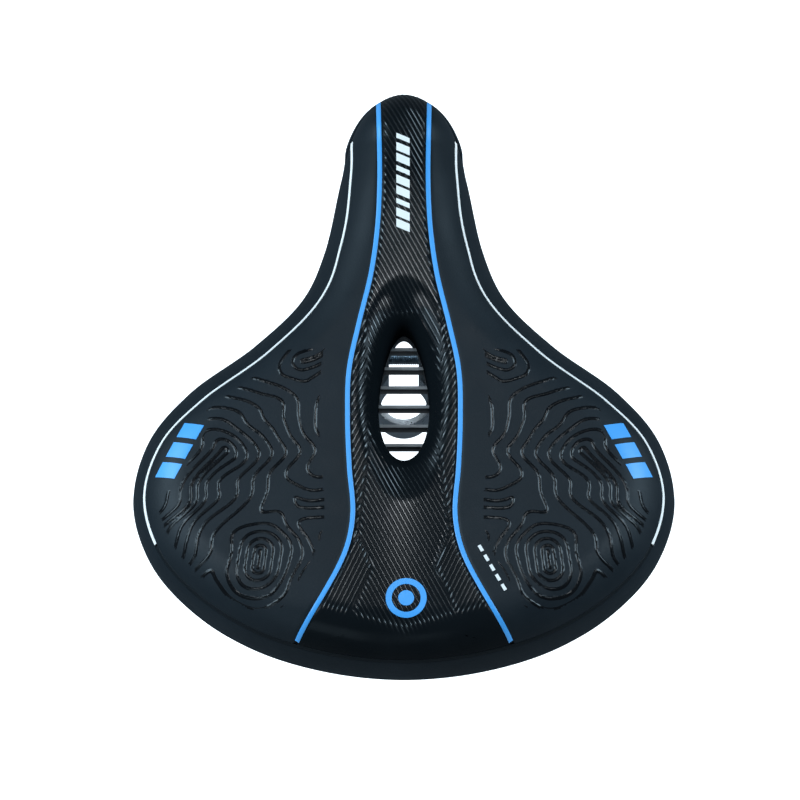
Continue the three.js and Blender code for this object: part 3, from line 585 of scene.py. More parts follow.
# ridges of the contour map: two ends, height at the middle, spacing of the lines beside it
CONTOUR_RIDGES = [
    ((84, -47), (113, -90), 11.6, 3.0),
    ((65.5, -94), (66.5, -102), 11.2, 2.15),
    ((30, -70), (50, -71.5), 6.6, 3.6),
    ((36, 4), (47, -4), 6.3, 3.2),
]
CONTOUR_POWER = 0.78
CONTOUR_JOIN = 1.6
CALM_PLACE = (66, -98)  # the rings here are left round
CALM_REACH = (6, 26)
# waves that bend the lines: size, turns over x and over y, start
WAVES_X = ((2.3, 0, 0.26, 1.1), (0.5, 0.1, 0.47, 0))
WAVES_Y = ((1.5, 0.19, 0, 0.6), (0.4, 0.36, 0.12, 0))
MARK_PLACE = Vector((103, -45))
MARK_LINE = Vector((-4.9, 9.17))  # from one bar of the printed mark to the next
MARK_REACH = 1.4


def waves(table, x, y):
    return sum(size * math.sin(over_x * x + over_y * y + start) for size, over_x, over_y, start in table)


def contour(x, y):
    """Height on the contour map: rounded ridges that run into each other."""
    x = abs(x)
    calm = ease(*CALM_REACH, math.dist((x, y), CALM_PLACE))
    here = Vector((x + calm * waves(WAVES_X, x, y), y + calm * waves(WAVES_Y, x, y)))
    total = 0
    for first, last, top, spacing in CONTOUR_RIDGES:
        along = min(1, max(0, geometry.intersect_point_line(here, Vector(first), Vector(last))[1]))
        away = (here - Vector(first).lerp(Vector(last), along)).length
        total += math.exp(CONTOUR_JOIN * (top - (away / spacing) ** CONTOUR_POWER))
    return math.log(total) / CONTOUR_JOIN


def slant(height, x, y, reach=0.2):
    """Steepness of a height map, so that its levels turn into distances."""
    over_x = height(x + reach, y) - height(x - reach, y)
    over_y = height(x, y + reach) - height(x, y - reach)
    return max(0.05, math.hypot(over_x, over_y) / (2 * reach))


def contour_fade(x, y):
    """1 where the contour lines stand, 0 near the panel's edges and the printed mark."""
    x = abs(x)
    here = Vector((x, y))
    ends = min(LINE_SPAN_Y[1] - y, y - LINE_SPAN_Y[0])
    along = geometry.intersect_point_line(here, MARK_PLACE, MARK_PLACE + MARK_LINE)[1]
    along = min(MARK_REACH, max(-MARK_REACH, along))
    mark = (here - MARK_PLACE - MARK_LINE * along).length - LINE_TO_MARK
    sides = min(seam_gap(x, y) - LINE_TO_SEAM, stripe_gap(x, y) - LINE_TO_STRIPE)
    return ease(0, LINE_FADE, min(sides, ends, mark))


def cut(made, level, keep_all=False):
    """Cuts a flat bmesh along the line where level(x, y) is 0, and drops the part below it."""
    for vert in made.verts:
        vert.co.z = level(vert)
    whole = made.verts[:] + made.edges[:] + made.faces[:]
    bmesh.ops.bisect_plane(made, geom=whole, dist=0.02, plane_co=(0, 0, 0), plane_no=(0, 0, 1),
                           clear_inner=not keep_all)


def moved(made, place):
    bmesh.ops.translate(made, verts=made.verts, vec=place)
    return made


def about_z(made, angle):
    bmesh.ops.rotate(made, cent=(0, 0, 0), matrix=Matrix.Rotation(angle, 3, "Z"), verts=made.verts)
    return made


def on_side(made, side):
    """Mirrors a right-hand part for the left side."""
    if side < 0:
        bmesh.ops.scale(made, vec=(-1, 1, 1), verts=made.verts)
        bmesh.ops.reverse_faces(made, faces=made.faces)
    return made


def flat_grid(low, high, step):
    """A flat grid over a rectangle, in millimetres."""
    made = bmesh.new()
    across, along = (math.ceil((b - a) / step) for a, b in zip(low, high))
    bmesh.ops.create_grid(made, x_segments=across, y_segments=along, size=0.5)
    size, middle = Vector(high) - Vector(low), (Vector(high) + Vector(low)) / 2
    bmesh.ops.scale(made, vec=(*size, 1), verts=made.verts)
    return moved(made, (*middle, 0))


def wing_sheet():
    """The right wing, cut to its seams and along both sides of every contour line."""
    made = flat_grid((6, TAIL_Y), (HALF_WIDTH, NOSE_Y), WING_STEP)
    cut(made, lambda vert: seam_gap(*vert.co.xy) - BEAD / 2 - SEAM_ROOM)
    cut(made, lambda vert: stripe_gap(*vert.co.xy) - STRIPE / 2 - SEAM_ROOM)
    for inset in EDGE_CUTS:
        cut(made, lambda vert: wing_gap(*vert.co.xy) - inset, keep_all=True)
    height = made.verts.layers.float.new("contour")
    steep = made.verts.layers.float.new("steepness")
    for vert in made.verts:
        vert[height] = contour(*vert.co.xy)
        vert[steep] = slant(contour, *vert.co.xy)
    for level in range(1, LINE_COUNT):
        for offset in (-LINE_HALF, -LINE_CORE, LINE_CORE, LINE_HALF):
            cut(made, lambda vert: (vert[height] - level) / vert[steep] - offset, keep_all=True)
    for vert in made.verts:
        x, y = vert.co.xy
        off_line = abs(vert[height] - round(vert[height])) / vert[steep]
        rise = LINE_RISE * (1 - ease(LINE_CORE * 0.6, LINE_HALF, off_line)) * contour_fade(x, y)
        if round(vert[height]) < 1:
            rise = 0
        vert.co.z = seat_z(x, y) - panel_fall(wing_gap(x, y)) + rise
    for face in made.faces:
        middle = face.calc_center_median()
        level = sum(vert[height] for vert in face.verts) / len(face.verts)
        steepness = sum(vert[steep] for vert in face.verts) / len(face.verts)
        on_line = abs(level - round(level)) / steepness < LINE_HALF and round(level) >= 1
        face.material_index = int(on_line and contour_fade(*middle.xy) > LINE_SEEN)
    return made


@functools.cache
def wing_gap(x, y):
    return min(seam_gap(x, y) - BEAD / 2, stripe_gap(x, y) - STRIPE / 2) - SEAM_ROOM


glossy_line = leather(
    "glossy_line", [(0.0015, 0.002, 0.003), (0.003, 0.004, 0.005)], 0.24, grain=0.00002,
    specular_ior_level=0.34
)
for side, name in SIDES:
    bm = on_side(wing_sheet(), side)
    finishes = [cover_leather, glossy_line]
    finish(bm, f"wing_skin_{name}", finishes, "seat", [f"wing_panel_{name}"], LEATHER)

# ---- centre panel ----
# One long panel between the stripes, with fine slanting ridges moulded in two directions. It dips
# into the relief recess and turns down as the slot's lining.
RIDGE_PITCH = 2.0
RIDGE_RISE = 0.34
RIDGE_ROWS = (0, 0.25, 0.42, 0.58, 0.75)  # valley floor, foot, crest, crest, foot
RIDGE_STEP = 1.5
MAIN_SLANT = math.atan2(-1.9, 1)
SIDE_SLANT = math.atan2(2.1, 1)
RIDGE_GRID_HALF = 170
RIDGE_STRIP_HALF = 56
# half width of the middle field of ridges, by y
WEAVE = [
    (-150, 70), (-137, 70), (-133, 27), (-128, 26), (-101, 14.5), (-85, 21), (-50, 16.5), (20, 17), (36, 40),
    (140, 60),
]
WEAVE_SLOPE = 0.93
VALLEY_SHEEN = 0.09
CREST_SHEEN = 0.8
RIDGES_END_Y = -133
RIDGES_END_SLOPE = 0.28
RIDGES_FADE = 5
SLOT_ROLL = 6.5
SLOT_CUTS = (0.3, 1, 2.2, 4)
SLOT_NEAR = 0.15
LINING_Z = 75.6


def joined(*parts):
    """One bmesh that holds all the parts."""
    whole = bmesh.new()
    scratch = bpy.data.meshes.new("scratch")
    for part in parts:
        part.to_mesh(scratch)
        part.free()
        whole.from_mesh(scratch)
    bpy.data.meshes.remove(scratch)
    return whole


def table_at(table, at):
    """Reads a table of (at, value) by straight lines between its rows."""
    for (k0, v0), (k1, v1) in zip(table, table[1:]):
        if at <= k1:
            return v0 + (v1 - v0) * (at - k0) / (k1 - k0)
    return table[-1][1]


def slot_gap(x, y):
    """Distance outside the relief slot's edge."""
    along = (y - SLOT_Y) / SLOT_HALF.y
    half_x = SLOT_HALF.x * (1 - SLOT_EGG * max(-1, min(1, along)))
    reach = max(1e-6, math.hypot(x / half_x, along))
    steepness = math.hypot(x / half_x ** 2, along / SLOT_HALF.y) / reach
    return (reach - 1) / max(steepness, 1e-6)


def centre_gap(x, y):
    """Distance inside the centre panel's edge."""
    return min(seam_gap(x, y) - BEAD / 2, -stripe_gap(x, y) - STRIPE / 2) - SEAM_ROOM


def weave_gap(x, y):
    """Distance from the border between the two ridge directions: positive on the middle side."""
    return (table_at(WEAVE, y) - abs(x)) * WEAVE_SLOPE


@functools.cache
def centre_z(x, y):
    """Height of the centre panel between its ridges, rolled down at the slot."""
    near_slot = max(0, slot_gap(x, y))
    turn = SLOT_ROLL * (1 - math.sqrt(1 - (1 - min(1, near_slot / SLOT_ROLL)) ** 2))
    return seat_z(x, y) - panel_fall(centre_gap(x, y)) - turn


def recess_shade(x, y):
    """How deep in the recess a place lies: 0 outside it and 1 beside the slot."""
    return ease(0.1, 0.75, recess(x, y) / RECESS_DEPTH)


def ridge_profile(phase):
    """0 in the valley and 1 on the crest, with straight flanks."""
    return 1 - ease(0.08, 0.25, abs(phase % 1 - 0.5))


def ridged_sheet(slant_angle, side_of_weave):
    """The part of the panel that has one ridge direction, on a grid laid along its ridges."""
    rows = len(RIDGE_ROWS)
    length = 2 * RIDGE_GRID_HALF
    count = round(length / RIDGE_PITCH)
    made = bmesh.new()
    steps = round(length / RIDGE_STEP)
    bmesh.ops.create_grid(made, x_segments=steps, y_segments=count * rows, size=RIDGE_GRID_HALF)
    for vert in made.verts:
        row = round((vert.co.y + RIDGE_GRID_HALF) / length * count * rows)
        vert.co.y = (row // rows + RIDGE_ROWS[row % rows]) * RIDGE_PITCH - RIDGE_GRID_HALF
    turn = Matrix.Rotation(slant_angle, 3, "Z")
    out = [vert for vert in made.verts if abs((turn @ vert.co).x) > RIDGE_STRIP_HALF]
    bmesh.ops.delete(made, geom=out, context="VERTS")
    about_z(made, slant_angle)
    cut(made, lambda vert: side_of_weave * weave_gap(*vert.co.xy))
    cut(made, lambda vert: centre_gap(*vert.co.xy))
    cut(made, lambda vert: slot_gap(*vert.co.xy))
    for inset in EDGE_CUTS:
        cut(made, lambda vert: centre_gap(*vert.co.xy) - inset, keep_all=True)
    for inset in SLOT_CUTS:
        cut(made, lambda vert: slot_gap(*vert.co.xy) - inset, keep_all=True)
    normal = Vector((-math.sin(slant_angle), math.cos(slant_angle)))
    sheen = made.verts.layers.float.new("sheen")
    for vert in made.verts:
        x, y = vert.co.xy
        phase = (vert.co.xy.dot(normal) + RIDGE_GRID_HALF) / RIDGE_PITCH
        gap = min(centre_gap(x, y) - 0.6, abs(weave_gap(x, y)) - 0.15, (slot_gap(x, y) - 3) / 3)
        past_end = y - RIDGES_END_Y - RIDGES_END_SLOPE * abs(x)
        fade = ease(0, 0.9, gap) * ease(0, RIDGES_FADE, past_end)
        crest = ridge_profile(phase) * fade
        vert[sheen] = (VALLEY_SHEEN + CREST_SHEEN * crest) * (1 - recess_shade(x, y))
        vert.co.z = centre_z(x, y) + RIDGE_RISE * crest
    return made


def line_slot(made):
    """Draws the panel's edge round the slot straight down, as its lining."""
    border = [e for e in made.edges if e.is_boundary]
    rim = [e for e in border if all(abs(slot_gap(*v.co.xy)) < SLOT_NEAR for v in e.verts)]
    drawn = bmesh.ops.extrude_edge_only(made, edges=rim)["geom"]
    for vert in (v for v in drawn if isinstance(v, bmesh.types.BMVert)):
        vert.co.z = LINING_Z


ridged_leather = leather(
    "ridged_leather", [(0.004, 0.0058, 0.0072), (0.006, 0.0082, 0.01)], 0.22, grain=0.000008, grain_scale=1800
)
crest_sheen = node(ridged_leather, "ShaderNodeAttribute", attribute_name="sheen")
drive(ridged_leather, "Specular IOR Level", crest_sheen, "Fac")
middle_part = ridged_sheet(MAIN_SLANT, 1)
line_slot(middle_part)
bm = joined(middle_part, ridged_sheet(SIDE_SLANT, -1))
finish(bm, "centre_skin", ridged_leather, "seat", ["centre_panel"], LEATHER)

# ---- printed marks ----
# Plain raised prints of the same film as the stripes: a column of slanted bars on the nose,
# three bars on each wing, a ring and dot near the tail, and short dashes beside the right stripe.
PRINT_RISE = 0.28
PRINT_OVER_RIDGES = RIDGE_RISE + 0.12
PRINT_THICK = 0.6
PRINT_STEP = 0.7
NOSE_BARS = 9
NOSE_BAR_PLACE = Vector((-0.4, 105))
NOSE_BAR_PITCH = 5.4
NOSE_BAR_SIZES = (2.4, 4.0, 4.0)  # lengths, in turn
NOSE_BAR_WIDTH = 6.2
NOSE_BAR_LEAN = 0.45
WING_BAR = (7.6, 9.0)
WING_BAR_LEAN = 0.25
RING_PLACE = Vector((1, -116))
RING_OUTER = 9.3
RING_INNER = 6.6
RING_PATCH = 10
DOT_R = 3.6
DOT_PATCH = 5
DASHES = 5
DASH_SIZE = (3.2, 1.5)
DASH_TURN = math.radians(-60)
DASH_PLACE = Vector((35, -93))
DASH_PITCH = Vector((2.6, -4.6))


def slanted_bar(place, length, width, turn, lean):
    """A flat parallelogram, cut fine enough to lie on the seat."""
    made = flat_grid((-length / 2, -width / 2), (length / 2, width / 2), PRINT_STEP)
    for vert in made.verts:
        vert.co.x += vert.co.y * lean
    return moved(about_z(made, turn), (*place, 0))


def round_patch(reach):
    """A square grid round the ring's middle."""
    return flat_grid(RING_PLACE - Vector((reach, reach)), RING_PLACE + Vector((reach, reach)), PRINT_STEP)


def printed(parts, name, finish_material, rise=PRINT_RISE):
    """Joins flat parts and lays them on the seat's surface."""
    whole = joined(*parts)
    for vert in whole.verts:
        vert.co.z = seat_z(*vert.co.xy) + rise
    finish(whole, name, finish_material, "seat", wall=PRINT_THICK)


nose_bars = []
for k in range(NOSE_BARS):
    middle = NOSE_BAR_PLACE - Vector((0, NOSE_BAR_PITCH * k))
    nose_bars.append(slanted_bar(middle, NOSE_BAR_SIZES[k % 3], NOSE_BAR_WIDTH, math.pi / 2, NOSE_BAR_LEAN))
printed(nose_bars, "nose_mark", white_print, PRINT_OVER_RIDGES)
for side, name in SIDES:
    turn = side * math.atan2(MARK_LINE.y, MARK_LINE.x)
    bars = []
    for k in (-1, 0, 1):
        middle = MARK_PLACE + MARK_LINE * k
        bars.append(slanted_bar((middle.x * side, middle.y), *WING_BAR, turn, WING_BAR_LEAN * side))
    printed(bars, f"wing_mark_{name}", blue_print)
ring_band = round_patch(RING_PATCH)
cut(ring_band, lambda vert: RING_OUTER - (vert.co.xy - RING_PLACE).length)
cut(ring_band, lambda vert: (vert.co.xy - RING_PLACE).length - RING_INNER)
ring_dot = round_patch(DOT_PATCH)
cut(ring_dot, lambda vert: DOT_R - (vert.co.xy - RING_PLACE).length)
printed([ring_band, ring_dot], "tail_mark", blue_print, PRINT_OVER_RIDGES)
dashes = [slanted_bar(DASH_PLACE + DASH_PITCH * k, *DASH_SIZE, DASH_TURN, 0) for k in range(DASHES)]
printed(dashes, "side_dashes", white_print)

# ---- foam pad ----
# One moulding of open-cell polyurethane foam, which fills the cover from the shell's top face to the
# skin, with a pocket for each gel pad.
FOAM_DEPTH = 3.0
FOAM_FLOOR_Z = 75.4
FOAM_EDGE_INSET = 5.0
GEL_THICK = 6
GEL_HALF = Vector((30, 42))
GEL_PLACE = Vector((72, -62))
POCKET_DEPTH = GEL_THICK + 0.8
FOAM_STEPS = 180
FOAM_ROWS = 40
FOAM_LEAST = 1.5
POCKET_RIM = 1.06


def slot_ring(place, out):
    """The relief slot's edge in the direction of a place on the ring, let out by a distance."""
    i = round(place) % RING_STEPS
    angle = math.atan2(ring[i].y - SLOT_Y, ring[i].x)
    half_x = SLOT_HALF.x * (1 - SLOT_EGG * math.sin(angle)) + out
    return Vector((half_x * math.cos(angle), SLOT_Y + (SLOT_HALF.y + out) * math.sin(angle), 0))


def inset_ring(place, inset):
    """The outline, let in by a distance."""
    i = round(place) % RING_STEPS
    return ring[i] + inward(i) * inset


def pocket(x, y):
    """Depth of the gel pads' pockets."""
    reach = math.hypot((abs(x) - GEL_PLACE.x) / GEL_HALF.x, (y - GEL_PLACE.y) / GEL_HALF.y)
    return POCKET_DEPTH * (1 - ease(1.0, POCKET_RIM, reach))


def foam_place(u, v):
    """v runs up beside the slot, over the top to the outer edge, then down and back under to the slot."""
    place = u * RING_STEPS
    inner, outer = slot_ring(place, FOAM_DEPTH), inset_ring(place, FOAM_EDGE_INSET)
    row = round(v * FOAM_ROWS)
    if row in (0, FOAM_ROWS - 1, FOAM_ROWS):
        flat = outer if row == FOAM_ROWS - 1 else inner
        return Vector((flat.x, flat.y, FOAM_FLOOR_Z))
    flat = inner.lerp(outer, math.sin((row - 1) / (FOAM_ROWS - 3) * math.pi / 2))
    z = max(FOAM_FLOOR_Z + FOAM_LEAST, centre_z(flat.x, flat.y) - FOAM_DEPTH - pocket(flat.x, flat.y))
    return Vector((flat.x, flat.y, z))


foam_material = material("moulded_foam", 0.95, colour=(0.06, 0.06, 0.065))
place_node = node(foam_material, "ShaderNodeTexCoord")
cells = node(foam_material, "ShaderNodeTexVoronoi", [("Vector", place_node, "Object")], scale=900)
relief(foam_material, cells, "Distance", 0.8, 0.0005)
bm = sheet(FOAM_STEPS, FOAM_ROWS, foam_place, closed=True)
bmesh.ops.recalc_face_normals(bm, faces=bm.faces)
foam = finish(bm, "foam_cushion", foam_material, "seat", ["foam_pad"])

# ---- gel pads ----
# Two oval pads of soft clear blue gel, cast in one piece each and laid in the foam's pockets,
# under the rider's sit bones.
GEL_ROUND = 1.2
GEL_STEPS = (72, 40)
GEL_RIM = 0.05  # the rim's shares of the way from the top's middle to the base's
GEL_FLANK = 0.03
GEL_CORNER = 0.06
GEL_DROP = 0.04
GEL_OVER = 0.1  # how far the gel stands above the foam


def gel_place(u, v):
    """v runs from the middle of the top to the edge, down, and back to the middle of the base."""
    angle = u * 2 * math.pi
    off_rim = abs(v - 0.5)
    edge_share = min(1, 2 * v, 2 * (1 - v)) if off_rim > GEL_RIM else 1
    spread = 1 - GEL_ROUND / GEL_HALF.x if GEL_FLANK < off_rim < GEL_CORNER else 1
    x = GEL_PLACE.x + GEL_HALF.x * math.cos(angle) * edge_share * spread
    y = GEL_PLACE.y + GEL_HALF.y * math.sin(angle) * edge_share * spread
    depth = FOAM_DEPTH - GEL_OVER + GEL_THICK * ease(0.5 - GEL_DROP, 0.5 + GEL_DROP, v)
    return Vector((x, y, seat_z(x, y) - depth))


gel_material = material("clear_blue_gel", 0.18, colour=(0.1, 0.32, 0.5), transmission_weight=0.35)
for side, name in SIDES:
    bm = sheet(*GEL_STEPS, gel_place, closed=True)
    bmesh.ops.scale(bm, vec=(side, 1, 1), verts=bm.verts)
    bmesh.ops.recalc_face_normals(bm, faces=bm.faces)
    gel = finish(bm, f"gel_cushion_{name}", gel_material, "seat", [f"gel_pad_{name}"])

# ---- base shell ----
# One injection moulding in tough black plastic: a plate with a stiff turned-down lip, a walled relief
# slot crossed by seven ribs, stiffening ribs below, and bosses for the nose clip and the springs.
SHELL_TOP_Z = 75
SHELL_WALL = 3
SHELL_INSET = 5.8
SHELL_ROUND = 1.1
LIP_LIFT = 2.0
RIB_COUNT = 7
RIB_PITCH = 9.2
RIB_THICK = 1.6
RIB_HEIGHT = 9
FIRST_RIB_Y = 9.4
STIFFENERS = 26
STIFFENER_LOW_Z = 67.5
STIFFENER_TOP_Z = 73
STIFFENER_FREE_X = 16  # none is laid under the nose clip
RIB_ROUND = 0.3
GRILLE_ROUND = 0.35
SINK = 0.5  # how far a rib or a boss runs into the wall that it stands on
SPRING_X = 61
SPRING_Y = -66
BOSS_R = 18
BOSS_Z = 69.8
NOSE_BAR_Y = NOSE_Y - 27
NOSE_BOSS_HALF = Vector((6.5, 14))
NOSE_BOSS_Z = 66.1
CLIP_TOP_Z = 65.8


def loop_sheet(around, stations):
    """A closed ring-shaped solid: each station is a function from a place on the ring to a point."""
    def place(u, v):
        station = stations[round(v * len(stations)) % len(stations)]
        return station(u * RING_STEPS)

    made = sheet(around, len(stations), place, closed=True)
    bmesh.ops.recalc_face_normals(made, faces=made.faces)
    return made


def at_slot(out, z):
    return lambda place: slot_ring(place, out) + Vector((0, 0, z))


def at_edge(inset, z=None, above_lip=0.0):
    def point(place):
        flat = inset_ring(place, inset)
        return flat + Vector((0, 0, skirt_z(flat.y) + LIP_LIFT + above_lip if z is None else z))
    return point


def rounded(made, edges, radius, segments=2):
    """Rounds edges by a radius."""
    bmesh.ops.bevel(made, geom=edges, offset=radius, affect="EDGES", segments=segments, profile=0.5,
                    material=-1)
    return made


def block(low, high, radius=0.0, segments=2):
    """A box between two corners, its edges rounded."""
    made = bmesh.new()
    bmesh.ops.create_cube(made, size=1)
    size = Vector(high) - Vector(low)
    bmesh.ops.scale(made, vec=size, verts=made.verts)
    moved(made, Vector(low) + size / 2)
    return rounded(made, made.edges, radius, segments) if radius else made


def turned(profile, place=(0, 0, 0), steps=48):
    """A closed profile of (radius, height) turned round an upright axis."""
    made = bmesh.new()
    verts = [made.verts.new((r, 0, z)) for r, z in profile]
    edges = [made.edges.new(pair) for pair in zip(verts, [*verts[1:], verts[0]])]
    bmesh.ops.spin(made, geom=verts + edges, cent=(0, 0, 0), axis=(0, 0, 1), steps=steps, angle=2 * math.pi,
                   use_merge=True)
    bmesh.ops.remove_doubles(made, verts=made.verts, dist=1e-3)
    bmesh.ops.dissolve_degenerate(made, edges=made.edges, dist=1e-4)
    bmesh.ops.delete(made, geom=[e for e in made.edges if e.is_wire], context="EDGES")
    bmesh.ops.recalc_face_normals(made, faces=made.faces)
    return moved(made, place)


def disc(radius, z0, z1, place=(0, 0, 0), corner=0.4, steps=48):
    """A turned disc with rounded rims."""
    rim = [(radius - corner, z0), (radius - corner * 0.3, z0 + corner * 0.3), (radius, z0 + corner)]
    top = [(radius, z1 - corner), (radius - corner * 0.3, z1 - corner * 0.3), (radius - corner, z1)]
    return turned([(0, z0), *rim, *top, (0, z1)], place, steps)


def crossed(made):
    """Lays an upright part along X."""
    bmesh.ops.rotate(made, cent=(0, 0, 0), matrix=Matrix.Rotation(math.pi / 2, 3, "Y"), verts=made.verts)
    return made


def stiffener(k):
    """An upright rib under the plate, from the slot's wall to the lip."""
    place = (k + 0.5) / STIFFENERS * RING_STEPS
    start, end = slot_ring(place, SHELL_WALL - SINK), inset_ring(place, SHELL_INSET + SHELL_WALL - SINK)
    boss = Vector((math.copysign(SPRING_X, end.x), SPRING_Y, 0))
    foot, _ = geometry.intersect_point_line(boss, start, end)
    if (boss - foot).length < BOSS_R + 2 or abs(end.x) < STIFFENER_FREE_X:
        return None
    high = ((end - start).length, RIB_THICK / 2, STIFFENER_TOP_Z)
    made = block((0, -RIB_THICK / 2, STIFFENER_LOW_Z), high, RIB_ROUND)
    turn = math.atan2(end.y - start.y, end.x - start.x)
    return moved(about_z(made, turn), start)


def grille_rib(k):
    """One of the ribs across the relief slot, counted from the nose."""
    y = FIRST_RIB_Y - k * RIB_PITCH
    along = (y - SLOT_Y) / SLOT_HALF.y
    reach = SLOT_HALF.x * (1 - SLOT_EGG * along) * math.sqrt(1 - along * along) + SHELL_WALL / 2
    half = RIB_THICK / 2
    return block((-reach, y - half, SHELL_TOP_Z - RIB_HEIGHT), (reach, y + half, SHELL_TOP_Z), GRILLE_ROUND)


UNDER_Z = SHELL_TOP_Z - SHELL_WALL
plate_part = loop_sheet(RING_STEPS // 3, [
    at_slot(0, UNDER_Z), at_slot(0, SHELL_TOP_Z - 0.6), at_slot(0.6, SHELL_TOP_Z),
    at_edge(SHELL_INSET + SHELL_ROUND, SHELL_TOP_Z), at_edge(SHELL_INSET + 0.3, SHELL_TOP_Z - 0.3),
    at_edge(SHELL_INSET, SHELL_TOP_Z - SHELL_ROUND), at_edge(SHELL_INSET, above_lip=0.5),
    at_edge(SHELL_INSET + 0.5), at_edge(SHELL_INSET + SHELL_WALL - 0.5),
    at_edge(SHELL_INSET + SHELL_WALL, UNDER_Z - 0.9), at_edge(SHELL_INSET + SHELL_WALL + 0.9, UNDER_Z),
])
WALL_LOW_Z = SHELL_TOP_Z - RIB_HEIGHT
wall_part = loop_sheet(RING_STEPS // 6, [
    at_slot(0, WALL_LOW_Z + 0.4), at_slot(0, SHELL_TOP_Z - 0.5), at_slot(SHELL_WALL, SHELL_TOP_Z - 0.5),
    at_slot(SHELL_WALL, WALL_LOW_Z + 0.4), at_slot(SHELL_WALL - 0.4, WALL_LOW_Z), at_slot(0.4, WALL_LOW_Z),
])
bosses = [disc(BOSS_R, BOSS_Z, UNDER_Z + SINK, (side * SPRING_X, SPRING_Y, 0)) for side in (1, -1)]
nose_boss = block((-NOSE_BOSS_HALF.x, NOSE_BAR_Y - NOSE_BOSS_HALF.y, NOSE_BOSS_Z),
                  (NOSE_BOSS_HALF.x, NOSE_BAR_Y + NOSE_BOSS_HALF.y, UNDER_Z + 1), 0.6)
stiffeners = [rib for rib in map(stiffener, range(STIFFENERS)) if rib]


def plastic(name, colour, roughness):
    """Moulded plastic with a fine spark-eroded texture."""
    made = material(name, roughness, colour=colour)
    place = node(made, "ShaderNodeTexCoord")
    spark = node(made, "ShaderNodeTexNoise", [("Vector", place, "Object")], scale=1600, detail=3)
    relief(made, spark, "Fac", 0.35, 0.0001)
    cloud = node(made, "ShaderNodeTexNoise", [("Vector", place, "Object")], scale=40, detail=4)
    uneven_gloss(made, cloud, roughness - 0.1, roughness + 0.1)
    return made


black_plastic = plastic("black_plastic", (0.02, 0.022, 0.024), 0.45)
# Painted highlight: the grille ribs' top faces get a light grey that stands for light falling on the black
# ribs' tops.
painted_lit_rib_top = plastic("painted_lit_rib_top", (0.5, 0.55, 0.58), 0.35)
grille = [grille_rib(k) for k in range(RIB_COUNT)]
bm = joined(plate_part, wall_part, *bosses, nose_boss, *stiffeners, *grille)
# Faces on the grille's top, inside the slot, take the light grey painted highlight; the rest of the moulding
# stays black.
for face in bm.faces:
    middle = face.calc_center_median()
    face.material_index = int(middle.z > SHELL_TOP_Z - 0.5 and slot_gap(middle.x, middle.y) < -0.5)
finish(bm, "moulded_shell", [black_plastic, painted_lit_rib_top], "seat", ["base_shell"])

# ---- rail wire ----
# One length of 7 mm spring steel wire, cold bent into two straight rails and a nose bar, and
# bright plated. The nose clip holds its bar, and the guides and the bridge hold its rails.
RAIL_R = 3.5
RAIL_X = 22
RAIL_Z = 26
RAIL_REAR_Y = -86
RAIL_FRONT_Y = 62
RAIL_BEND = 22
NOSE_BAR_Z = 57
NOSE_BAR_HALF = 7.5
NOSE_BEND = 9
BEND_POINTS = 40


def metal(name, colour, roughness, spots=0.08):
    """Plated or coated steel: uneven gloss and faint scratches."""
    made = material(name, roughness, 1.0, colour)
    place = node(made, "ShaderNodeTexCoord")
    cloud = node(
        made, "ShaderNodeTexNoise", [("Vector", place, "Object")], scale=180, detail=6, roughness=0.65
    )
    uneven_gloss(made, cloud, roughness - spots, roughness + spots, (0.3, 0.75))
    tone(made, cloud, [(0.35, [0.82 * c for c in colour]), (0.65, colour)])
    stretch = node(made, "ShaderNodeMapping", [("Vector", place, "Object")], scale=(2400, 300, 2400))
    scratch = node(made, "ShaderNodeTexNoise", [("Vector", stretch, "Vector")], scale=1, detail=2)
    relief(made, scratch, "Fac", 0.15, 0.00005)
    return made


def wire(points, radius):
    """A round wire along points, as a bmesh with capped ends."""
    curve = bpy.data.curves.new("wire", "CURVE")
    curve.dimensions = "3D"
    curve.bevel_depth = radius
    curve.bevel_resolution = 5
    curve.use_fill_caps = True
    spline = curve.splines.new("POLY")
    spline.points.add(len(points) - 1)
    for knot, point in zip(spline.points, points):
        knot.co = (*point, 1)
    path = bpy.data.objects.new("wire", curve)
    mesh = bpy.data.meshes.new_from_object(path)
    bpy.data.objects.remove(path)
    made = bmesh.new()
    made.from_mesh(mesh)
    bmesh.ops.remove_doubles(made, verts=made.verts, dist=1e-3)
    bmesh.ops.recalc_face_normals(made, faces=made.faces)
    return made


def rail_bend(side):
    """Points of one bend, from the straight rail up to the nose bar."""
    return geometry.interpolate_bezier(
        Vector((side * RAIL_X, RAIL_FRONT_Y, RAIL_Z)),
        Vector((side * RAIL_X, RAIL_FRONT_Y + RAIL_BEND, RAIL_Z)),
        Vector((side * (NOSE_BAR_HALF + NOSE_BEND), NOSE_BAR_Y, NOSE_BAR_Z)),
        Vector((side * NOSE_BAR_HALF, NOSE_BAR_Y, NOSE_BAR_Z)), BEND_POINTS)


bright_steel = metal("bright_steel", (0.62, 0.66, 0.7), 0.2)
rear_ends = [Vector((side * RAIL_X, RAIL_REAR_Y, RAIL_Z)) for side in (1, -1)]
rail_line = [rear_ends[1], *rail_bend(-1), *reversed(rail_bend(1)), rear_ends[0]]
finish(wire(rail_line, RAIL_R), "rail_wire", bright_steel, "rails", ["rail_frame"])

# ---- coil springs ----
# Two springs coiled from 4.2 mm bright steel wire, with closed end turns. They stand on the bridge
# and carry the shell.
SPRING_WIRE_R = 2.1
SPRING_R = 14
SPRING_TURNS = 4.2
SPRING_BASE_Z = 34.4
SPRING_TOP_Z = 67.7
TURN_STEPS = 40
CLOSED_SHARE = 0.08
SPRING_FLATNESS = 0.75


